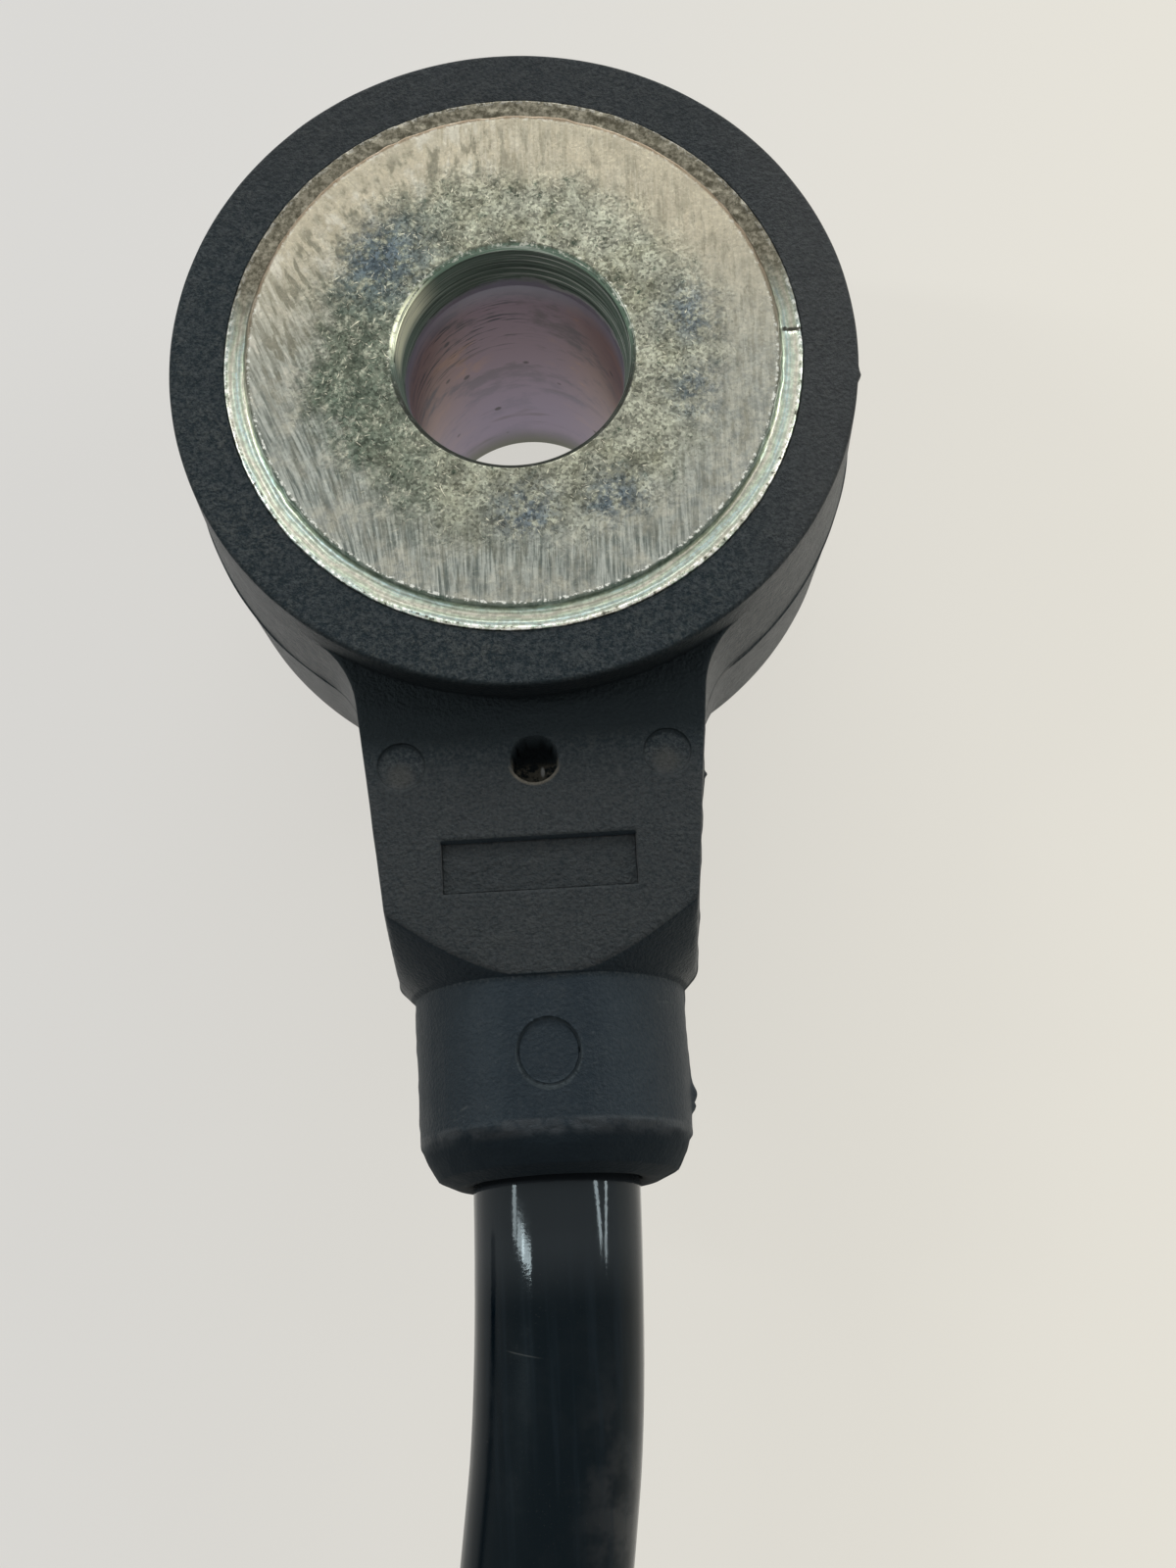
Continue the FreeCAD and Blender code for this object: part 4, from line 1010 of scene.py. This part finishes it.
class SENSOR_OT_sleeve(bpy.types.Operator):
    """Turn the plated steel sleeve, with its raised contact face, grooved rim and bolt hole"""

    bl_idname = "knock_sensor.sleeve"
    bl_label = "Plated sleeve"

    def execute(self, context):
        settings = context.scene.knock_sensor
        sizes = settings.sizes
        top = node_high("pressure_sleeve").z
        flange = node_high("pressure_sleeve").x
        under = node_high("upper_insulating_disc").z
        corners = [
            (4.65, 0.0, 0.03, 0.6),
            (6.5, 0.0, 0.08, 1.0),
            (6.5, under, 0.1, 0.9),
            (flange, under, 0.08, 0.3),
            (flange, top - 0.25, 0.07, 0.028),
            (10.25, top - 0.25, 0.05, 0.06),
            (10.15, top, 0.06, 0.2),
            (4.7, top, 0.05, 0.06),
            (4.47, top - 0.25, 0.04, 0.12),
            (4.4, top - 1.1, 0.3, 0.1),
            (4.2, top - 2.6, 0.6, 0.8),
            (4.2, 0.45, 0.04, 0.15),
        ]
        points = turned_points(eased_outline(corners), 560)
        rng = np.random.default_rng(settings.seed)
        radius = np.hypot(points[..., 0], points[..., 1])
        height = points[..., 2]
        upper = smooth_step(points[..., 1], -1.0, 5.0)
        rim = smooth_step(radius, 10.16, 10.3) * (height > top - 0.4)
        phase = 2 * np.pi * radius / (sizes.groove_pitch / MM)
        grooves = np.sin(phase + space_waves(points, rng, 2.0, 9.0)) * sizes.groove_depth / MM
        pits = space_waves(points, rng, 0.3, 0.9) * 0.014
        face = (radius < 10.1) * (radius > 4.75) * (height > top - 0.1)
        sink = face * (space_waves(points, rng, 1.5, 7.0) * 0.006 - 0.006)
        points[..., 2] += rim * (grooves * (1 - upper) + pits * upper) + sink
        lip = np.exp(-(((radius - 10.16) / 0.12) ** 2)) * (height > top - 0.3)
        push = lip * space_waves(points, rng, 0.5, 3.0) * 0.03
        edge = smooth_step(radius, flange - 0.12, flange) * (height > top - 0.5)
        push += edge * (space_waves(points, rng, 0.4, 2.0) * 0.008 - 0.008)
        nick_x, nick_y = (points[..., k] - NICK_PLACE[k] for k in (0, 1))
        nick = np.exp(-((nick_x / 0.28) ** 2) - ((nick_y / 0.12) ** 2))
        points[..., 2] -= nick * rim * 0.12
        points[..., :2] *= (1 + push / radius)[..., None]
        flat = points.reshape(-1, 3)
        faces = outward(flat, grid_faces(*points.shape[:2], True, True))
        piece = new_piece("plated_sleeve", flat, faces)
        dress(piece, "plated_steel", plating_material(settings.colours), "pressure_sleeve")
        return {"FINISHED"}


def neck_half_width(distance, height=0.0):
    """Half the neck's width, for distances from the bore axis and heights from the parting plane: a
    straight taper with a hollow arc into the round body. Both draw in away from the parting plane."""
    drop = np.abs(height)
    wide, narrow = NECK_WIDTHS
    hollow = NECK_HOLLOW
    body = BODY_RADIUS - np.where(height > 0, 0.014, 0.055) * drop
    side = wide / 2 - math.tan(NECK_DRAFT) * drop
    taper = (wide - narrow) / 2 / (OUTLET_START - NECK_START)
    straight = side - (distance - NECK_START) * taper
    unit = 1 / math.hypot(taper, 1)
    base_x = side + unit * hollow
    base_y = -NECK_START - taper * unit * hollow
    half = -(taper * base_x + base_y) * unit
    step = np.sqrt(half**2 - base_x**2 - base_y**2 + (body + hollow) ** 2) - half
    centre_x = base_x - taper * unit * step
    centre_y = base_y - unit * step
    arc = centre_x - np.sqrt(np.clip(hollow**2 - (distance + centre_y) ** 2, 0, None))
    touch = -centre_y * body / (body + hollow)
    sunk = np.clip((touch - distance) * 0.15, 0, 0.6)
    inner = np.sqrt(np.clip((body - sunk) ** 2 - distance**2, 0, None))
    start = -(centre_y + taper * unit * hollow)
    return np.where(distance > start, straight, np.where(distance > touch, arc, inner))


def soft_least(values, softness):
    """A least value whose edges are rounded: -s log(sum of exp(-v / s))."""
    least = values.min(axis=0)
    return least - softness * np.log(np.exp(-(values - least) / softness).sum(axis=0))


def spaced(*stops):
    """Numbers from the first stop on, where each (end, spacing) continues at that spacing to the end."""
    numbers = [np.array([stops[0]])]
    for end, spacing in stops[1:]:
        start = numbers[-1][-1]
        steps = max(1, int(round(abs(end - start) / spacing)))
        numbers.append(np.linspace(start, end, steps + 1)[1:])
    return np.concatenate(numbers)


def sink_round(points, centre, radius, depth, level):
    """Sinks a round recess into a flat face: points near the circle are drawn onto it, and onto a second
    circle just inside it, and everything within that is lowered."""
    offset = points[..., :2] - np.array(centre)
    distance = np.linalg.norm(offset, axis=-1)
    near = (np.abs(points[..., 2] - level) < 0.12) & (distance < radius + 0.3)
    outer = near & (np.abs(distance - radius) < 0.062)
    inner = near & (distance <= radius - 0.062)
    ring = inner & (distance > radius - 0.17)
    target = np.where(outer, radius, np.where(ring, radius - 0.09, distance))
    points[..., :2] = np.array(centre) + offset * (target / np.maximum(distance, 1e-6))[..., None]
    points[..., 2] -= inner * depth


def neck_directions(stations):
    """Unit directions from the neck's axis, one row for each station. They point at spots on a box round
    the cross-section: over its flat faces, closer where the marks and the panel's edges lie, and up its
    sides."""
    across = spaced(0.0, (1.4, 0.078), (3.5, 0.26), (3.62, 0.04), (3.95, 0.11))
    share = spaced(0.0, (0.8, 0.031), (1.0, 0.03))
    up = spaced(0.0, (0.06, 0.02), (0.9, 0.08), (1.0, 0.02))
    half = neck_half_width(stations)
    beside = 3.95 + share[None, 1:] * (half[:, None] - 3.95)
    wide = np.concatenate([np.repeat(across[None, :], len(stations), 0), beside], axis=1)
    side_x = np.repeat(half[:, None], len(up) - 1, 1)
    side_z = np.repeat((up[:-1] * NECK_RISE)[::-1][None, :], len(stations), 0)
    flat = np.stack([wide, np.full(wide.shape, NECK_RISE)], -1)
    quarter = np.concatenate([flat, np.stack([side_x, side_z], -1)], axis=1)
    lower = quarter[:, -2::-1] * np.array([1, -1])
    right = np.concatenate([quarter, lower], axis=1)
    left = right[:, -2:0:-1] * np.array([-1, 1])
    way = np.concatenate([right, left], axis=1)
    return way / np.linalg.norm(way, axis=-1, keepdims=True)


def neck_reach(distance, way, softness):
    """How far the surface lies from the neck's axis in each direction: the least of the distances to the
    drafted sides, the flat faces and the bevel cone, or to the outlet's turned form and its flats."""
    cosine, sine = (np.maximum(np.abs(way[..., k]), 1e-3) for k in (0, 1))
    flats = NECK_RISE / sine
    sides = neck_half_width(distance) / cosine
    for _ in range(3):
        sides = neck_half_width(distance, way[..., 1] * np.minimum(sides, flats)) / cosine
    cone = OUTLET_RADIUS + np.clip(OUTLET_START - distance, 0, None)
    neck = soft_least(np.stack([sides, flats, cone]), softness)
    ends = [OUTLET_START, 28.8, 29.55, 30.2, 30.5]
    turned = np.interp(distance, ends, [OUTLET_RADIUS, OUTLET_RADIUS, 4.76, 4.4, 3.75])
    outlet = soft_least(np.stack([turned, OUTLET_RISE / sine]), softness)
    return np.where(distance < OUTLET_START, neck, outlet)


def closed_tube(name, rings, middles):
    """A tube from rings of points, closed at each end by a fan of faces to that end's middle."""
    rows, columns = rings.shape[:2]
    points = np.concatenate([rings.reshape(-1, 3), np.array(middles)])
    faces = grid_faces(rows, columns, False, True)
    ring = np.arange(columns)
    following = (ring + 1) % columns
    last = (rows - 1) * columns
    start = np.stack([following, ring, np.full(columns, rows * columns)], axis=1)
    end = np.stack([last + ring, last + following, np.full(columns, rows * columns + 1)], axis=1)
    turned = outward(points, faces)
    if not np.array_equal(turned, faces):
        start, end = start[:, ::-1], end[:, ::-1]
    return new_piece(name, points, turned, start.tolist() + end.tolist())


class SENSOR_OT_housing(bpy.types.Operator):
    """Mould the plastic housing: round body with its collar, neck and cable outlet"""

    bl_idname = "knock_sensor.housing"
    bl_label = "Moulded housing"

    def execute(self, context):
        settings = context.scene.knock_sensor
        rng = np.random.default_rng(settings.seed + 1)
        material = moulding_material(settings.colours)
        for make in (self.round_body, self.neck_and_outlet):
            dress(make(settings, rng), "housing_plastic", material, "sensor_housing")
        return {"FINISHED"}

    def round_body(self, settings, rng):
        """The turned form about the bore, hollow where the sleeve and the stack sit."""
        edge = settings.sizes.plastic_edge / MM
        flash = settings.sizes.flash_height / MM
        face = node_high("sensor_housing").z
        flange = node_high("pressure_sleeve").x
        foot = node_low("sensor_housing").z
        corners = [
            (6.5, foot, 0.05, 0.5),
            (10.0, foot, edge, 0.35),
            (10.3, 5.0, 0.15, 0.5),
            (12.85, 5.0, edge, 0.35),
            (13.19, PARTING - 0.12, 0.05, 0.04),
            (BODY_RADIUS + flash, PARTING, 0.02, 0.04),
            (13.19, PARTING + 0.12, 0.05, 0.3),
            (13.1, face, edge, 0.14),
            (flange, face, 0.06, 0.4),
            (flange, 15.4, 0.0, 0.8),
            (9.9, 15.4, 0.0, 1.5),
            (9.9, node_low("seismic_mass").z, 0.0, 0.8),
            (9.0, node_low("seismic_mass").z, 0.0, 1.2),
            (9.0, node_low("ring_nut").z, 0.0, 0.9),
            (6.5, node_low("ring_nut").z, 0.0, 1.2),
        ]
        points = turned_points(eased_outline(corners), 440)
        radius = np.hypot(points[..., 0], points[..., 1])
        height = points[..., 2]
        outside = smooth_step(radius, 11.3, 12.0)
        line = np.exp(-(((height - PARTING) / 0.09) ** 2)) * (radius > 12.9)
        push = outside * space_waves(points, rng, 1.2, 9.0) * 0.004
        push += line * space_waves(points, rng, 2.0, 9.0) * flash * 0.3
        lip = (np.abs(radius - flange) < 0.12) & (height > face - 0.2)
        push += lip * space_waves(points, rng, 0.35, 1.6) * 0.012
        turn = np.arctan2(points[..., 1], points[..., 0])
        nib = np.exp(-(((turn + 0.112) / 0.012) ** 2) - (((height - face + 0.3) / 0.22) ** 2))
        push += nib * (radius > 12.6) * 0.16
        points[..., :2] *= (1 + push / radius)[..., None]
        on_face = (height > face - 0.05) * (radius > 11.15)
        points[..., 2] += on_face * space_waves(points, rng, 1.0, 8.0) * 0.008
        points[..., 2] += line * space_waves(points, rng, 2.5, 12.0) * 0.05
        flat = points.reshape(-1, 3)
        faces = outward(flat, grid_faces(*points.shape[:2], True, True))
        return new_piece("housing_body", flat, faces)

    def neck_and_outlet(self, settings, rng):
        """One surface about the neck's axis, with the sunk panel, the marks and the pin hole, the seam's
        flash with its nibs, and a ruffled edge before the outlet's end."""
        stations = spaced(
            9.5, (13.4, 0.13), (14.45, 0.13), (16.55, 0.07), (18.47, 0.2), (18.55, 0.04), (20.35, 0.3),
            (20.43, 0.04), (20.8, 0.12), (23.3, 0.1), (23.45, 0.05), (23.55, 0.02), (23.7, 0.05),
            (25.0, 0.16), (27.6, 0.085), (28.6, 0.14), (30.5, 0.05),
        )
        way = neck_directions(stations)
        distance = np.repeat(stations[:, None], way.shape[1], 1)
        reach = neck_reach(distance, way, settings.sizes.neck_edge / MM)
        points = np.stack([way[..., 0] * reach, -distance, PARTING + way[..., 1] * reach], axis=-1)

        flat_top = PARTING + NECK_RISE
        sunk = (np.abs(points[..., 0]) < 3.57) & (distance > 18.5) & (distance < 20.4) & (way[..., 1] > 0)
        points[..., 2] -= sunk * (np.abs(points[..., 2] - flat_top) < 0.12) * 0.2
        for x in (-MARK_X, MARK_X):
            sink_round(points, (x, MARK_Y), 0.875, 0.1, flat_top)
        sink_round(points, (0.0, MARK_Y), 0.9, 1.4, flat_top)
        sink_round(points, (0.0, OUTLET_MARK_Y), 1.2, 0.1, PARTING + OUTLET_RISE)

        normal = np.stack([way[..., 0], 0 * reach, way[..., 1]], axis=-1)
        from_parting = points[..., 2] - PARTING
        push = space_waves(points, rng, 1.0, 8.0) * 0.01 * smooth_step(distance, 12.0, 15.0)
        seam = np.exp(-((from_parting / 0.1) ** 2))
        push += seam * np.clip(space_waves(points, rng, 0.5, 3.0) + 0.8, 0, 2) * 0.03
        for y, width, rise in ((-15.05, 0.1, 0.1), (-27.45, 0.4, 0.22), (-27.95, 0.1, 0.16)):
            spot = np.exp(-(((points[..., 1] - y) / width) ** 2)) * (way[..., 0] > 0)
            push += spot * np.exp(-((from_parting / 0.2) ** 2)) * rise
        ruffle = np.exp(-(((distance - 28.95) / 0.14) ** 2))
        push += ruffle * space_waves(points, rng, 0.5, 3.5) * 0.05
        points += normal * push[..., None]

        ends = []
        for radius, y in ((3.5, -30.5), (3.1, -30.42), (3.1, -30.0)):
            ring = way[-1] * radius
            ends.append(np.stack([ring[:, 0], np.full(len(ring), y), PARTING + ring[:, 1]], axis=-1))
        rings = np.concatenate([points, np.stack(ends)])
        return closed_tube("housing_neck", rings, [[0.0, -9.5, PARTING], [0.0, -30.0, PARTING]])


class SENSOR_OT_lead(bpy.types.Operator):
    """Lay the lead from the outlet to the plug"""

    bl_idname = "knock_sensor.lead"
    bl_label = "Lead"

    def execute(self, context):
        settings = context.scene.knock_sensor
        line = bpy.data.curves.new("lead", "CURVE")
        line.dimensions = "3D"
        line.bevel_depth = settings.sizes.lead_diameter / 2
        line.bevel_resolution = 14
        line.resolution_u = 14
        line.use_fill_caps = True
        route = line.splines.new("NURBS")
        route.points.add(len(LEAD_ROUTE) - 1)
        for point, place in zip(route.points, LEAD_ROUTE):
            point.co = (*place, 1.0)
        route.order_u = 3
        route.use_endpoint_u = True
        piece = new_object("lead", line)
        dress(piece, "lead_jacket", lead_material(settings.colours), "sensor_cable")
        return {"FINISHED"}


class SENSOR_OT_plug(bpy.types.Operator):
    """Finish the plug: housing, rear cap, secondary lock, terminals, seals and cores"""

    bl_idname = "knock_sensor.plug"
    bl_label = "Plug"

    def execute(self, context):
        settings = context.scene.knock_sensor
        sizes = settings.sizes
        plastic = plug_material(settings.colours)
        lock = plain_finish(
            "lock plastic", (settings.colours.lock, (0.5, 0.12, 0.06)), 0.0, (0.4, 0.55), 5.0, 0.006
        )
        for name, node, material, slot, width in (
            ("plug_shell", "plug_housing", plastic, "plug_plastic", sizes.plug_edge),
            ("plug_cap", "rear_cap", plastic, "plug_plastic", sizes.plug_edge),
            ("plug_lock", "secondary_lock", lock, "lock_plastic", sizes.plug_edge / 2),
        ):
            piece = eased_copy(node, name, width)
            dress(piece, slot, material, node)
        brass = plain_finish(
            "contact brass",
            ((0.62, 0.42, 0.17), (0.78, 0.6, 0.32)),
            1.0,
            (0.22, 0.4),
            3.0,
            0.004,
            (3.0, 0.4, 3.0),
        )
        seal = plain_finish(
            "seal rubber", ((0.35, 0.07, 0.03), (0.5, 0.13, 0.06)), 0.0, (0.5, 0.7), 4.0, 0.01
        )
        core = plain_finish(
            "core insulation", ((0.6, 0.6, 0.56), (0.75, 0.75, 0.7)), 0.0, (0.3, 0.45), 3.0, 0.004
        )
        for k in (1, 2, 3):
            for name, material in (("terminal", brass), ("wire_seal", seal), ("plug_lead", core)):
                finish_node(f"{name}_{k}", material)
        for name in ("left_core_lead", "right_core_lead"):
            finish_node(name, core)
        for name in (
            "left_crimp_splice", "right_crimp_splice", "upper_contact_washer", "lower_contact_washer"
        ):
            finish_node(name, brass)
        return {"FINISHED"}


class SENSOR_OT_stack(bpy.types.Operator):
    """Finish the sensing stack inside the moulding"""

    bl_idname = "knock_sensor.stack"
    bl_label = "Sensing stack"

    def execute(self, context):
        steel = plain_finish(
            "turned steel",
            ((0.42, 0.42, 0.4), (0.62, 0.62, 0.6)),
            1.0,
            (0.25, 0.42),
            2.0,
            0.005,
            (0.3, 0.3, 4.0),
        )
        ceramic = plain_finish(
            "piezo ceramic", ((0.55, 0.46, 0.3), (0.66, 0.58, 0.42)), 0.0, (0.5, 0.7), 6.0, 0.008
        )
        film = plain_finish(
            "insulating film", ((0.5, 0.25, 0.06), (0.66, 0.38, 0.12)), 0.0, (0.18, 0.3), 1.5, 0.004
        )
        for material, names in (
            (steel, ("seismic_mass", "disc_spring", "ring_nut")),
            (ceramic, ("piezo_ring",)),
            (film, ("insulating_sleeve", "upper_insulating_disc", "lower_insulating_disc")),
        ):
            for name in names:
                finish_node(name, material)
        return {"FINISHED"}


# Stage


def floor_material(settings):
    """A pale floor, cooler on the left and warmer on the right, that takes the backdrop's colour far off.
    What the camera sees of it is partly its own glow, so that shadows stay faint."""
    material = bpy.data.materials.new("floor")
    material.use_nodes = True
    graph = Graph(material.node_tree)
    for node in list(graph.tree.nodes):
        graph.tree.nodes.remove(node)
    coordinates = graph.put("TexCoord").outputs["Object"]
    x, y, _ = graph.parts(coordinates)
    share = graph.span(graph.sum(x, graph.times(y, -0.25)), -0.03, 0.04)
    share = graph.times(share, graph.span(graph.distance((0.0, 0.0), coordinates), 0.7, 0.15))
    shade = graph.mix(share, settings.colours.floor_cool, settings.colours.floor_warm)
    diffuse = graph.put("BsdfDiffuse", {"Color": shade})
    glow = graph.put("Emission", {"Color": shade, "Strength": 1.0})
    surface = graph.shaders(graph.times(graph.seen(), settings.studio.floor_glow), diffuse, glow)
    graph.put("OutputMaterial", {"Surface": surface})
    return material


def room_light(scene, settings):
    """An even room: a pale backdrop for the camera and in reflections, and a plain level of light."""
    world = bpy.data.worlds.new("room")
    world.use_nodes = True
    scene.world = world
    graph = Graph(world.node_tree)
    light = world.node_tree.nodes["Background"]
    graph.feed(light.inputs["Color"], (0.96, 0.98, 1.0))
    _, y, z = graph.parts(graph.put("TexCoord").outputs["Generated"])
    behind = graph.span(graph.sum(y, graph.times(z, 0.5)), -0.7, 0.9)
    level = settings.studio.world_light
    graph.feed(light.inputs["Strength"], graph.scaled(behind, level * 0.25, level * 1.4))
    backdrop = graph.put("Background", {"Color": settings.colours.floor_cool, "Strength": 1.0})
    surface = graph.shaders(graph.seen(), light, backdrop)
    graph.feed(world.node_tree.nodes["World Output"].inputs["Surface"], surface)


def add_lamp(name, place, target, width, depth, power, lean):
    """A soft rectangular lamp that points at its target and leans about that line by some degrees."""
    data = bpy.data.lights.new(name, "AREA")
    data.shape = "RECTANGLE"
    data.size = width
    data.size_y = depth
    data.energy = power
    lamp = new_object(name, data)
    lamp.location = place
    aim = Vector(target) - Vector(place)
    turn = aim.to_track_quat("-Z", "Y") @ Quaternion((0.0, 0.0, 1.0), math.radians(lean))
    lamp.rotation_euler = turn.to_euler()
    lamp.visible_camera = False


class SENSOR_OT_stage(bpy.types.Operator):
    """Set up the floor, the room, the lamps and the camera"""

    bl_idname = "knock_sensor.stage"
    bl_label = "Stage"

    def execute(self, context):
        scene = context.scene
        settings = scene.knock_sensor
        studio = settings.studio
        scene.view_settings.view_transform = "Standard"
        room_light(scene, settings)

        reach = 1.5
        corners = [(-reach, -reach, 0.0), (reach, -reach, 0.0), (reach, reach, 0.0), (-reach, reach, 0.0)]
        mesh = bpy.data.meshes.new("floor")
        mesh.from_pydata(corners, [], [(0, 1, 2, 3)])
        floor = new_object("floor", mesh)
        floor.location = (0.0, 0.0, -0.00005)
        floor.data.materials.append(floor_material(settings))

        target = (0.0, -0.02, 0.01)
        level = studio.lamp_light
        for name, place, width, depth, power, lean in (
            ("far window", (0.0, 0.55, 0.27), 0.5, 0.2, 2.2, 0),
            ("left window, foot", (-0.355, 0.054, 0.4), 0.028, 0.12, 0.36, 0),
            ("left window, sill", (-0.395, 0.068, 0.335), 0.03, 0.09, 0.22, 0),
            ("left window, blind", (-0.43, 0.122, 0.265), 0.11, 0.05, 0.34, 0),
            ("right strip, high", (0.41, 0.11, 0.295), 0.21, 0.03, 0.46, 30),
            ("right strip, low", (0.46, 0.1, 0.145), 0.2, 0.03, 0.4, -30),
        ):
            add_lamp(name, place, target, width, depth, power * level, lean)

        data = bpy.data.cameras.new("camera")
        data.sensor_fit = "VERTICAL"
        data.sensor_height = 36.0
        data.lens = studio.lens
        data.clip_start = 0.002
        camera = new_object("camera", data)
        camera.location = studio.camera_place
        camera.rotation_euler = studio.camera_turn
        scene.camera = camera
        return {"FINISHED"}


PIECES = (
    SENSOR_OT_effects,
    SENSOR_OT_sleeve,
    SENSOR_OT_housing,
    SENSOR_OT_lead,
    SENSOR_OT_plug,
    SENSOR_OT_stack,
    SENSOR_OT_stage,
)


class SENSOR_PT_panel(bpy.types.Panel):
    """Lists the sensor's pieces and its settings"""

    bl_idname = "SENSOR_PT_panel"
    bl_label = "Knock Sensor"
    bl_space_type = "VIEW_3D"
    bl_region_type = "UI"
    bl_category = "Knock Sensor"

    def draw(self, context):
        layout = self.layout
        settings = context.scene.knock_sensor
        for piece in PIECES:
            layout.operator(piece.bl_idname)
        for group in (settings.sizes, settings.colours, settings.studio):
            box = layout.box()
            for name in group.__annotations__:
                box.prop(group, name)
        layout.prop(settings, "seed")


CLASSES = (
    KnockSensorSizes,
    KnockSensorColours,
    KnockSensorStudio,
    KnockSensorSettings,
    *PIECES,
    SENSOR_PT_panel,
)


def register():
    for part in CLASSES:
        bpy.utils.register_class(part)
    bpy.types.Scene.knock_sensor = PointerProperty(type=KnockSensorSettings)


def unregister():
    del bpy.types.Scene.knock_sensor
    for part in reversed(CLASSES):
        bpy.utils.unregister_class(part)


def main():
    register()
    bpy.ops.knock_sensor.effects()
    bpy.ops.knock_sensor.sleeve()
    bpy.ops.knock_sensor.housing()
    bpy.ops.knock_sensor.lead()
    bpy.ops.knock_sensor.plug()
    bpy.ops.knock_sensor.stack()
    bpy.ops.knock_sensor.stage()


if __name__ == "__main__":
    main()
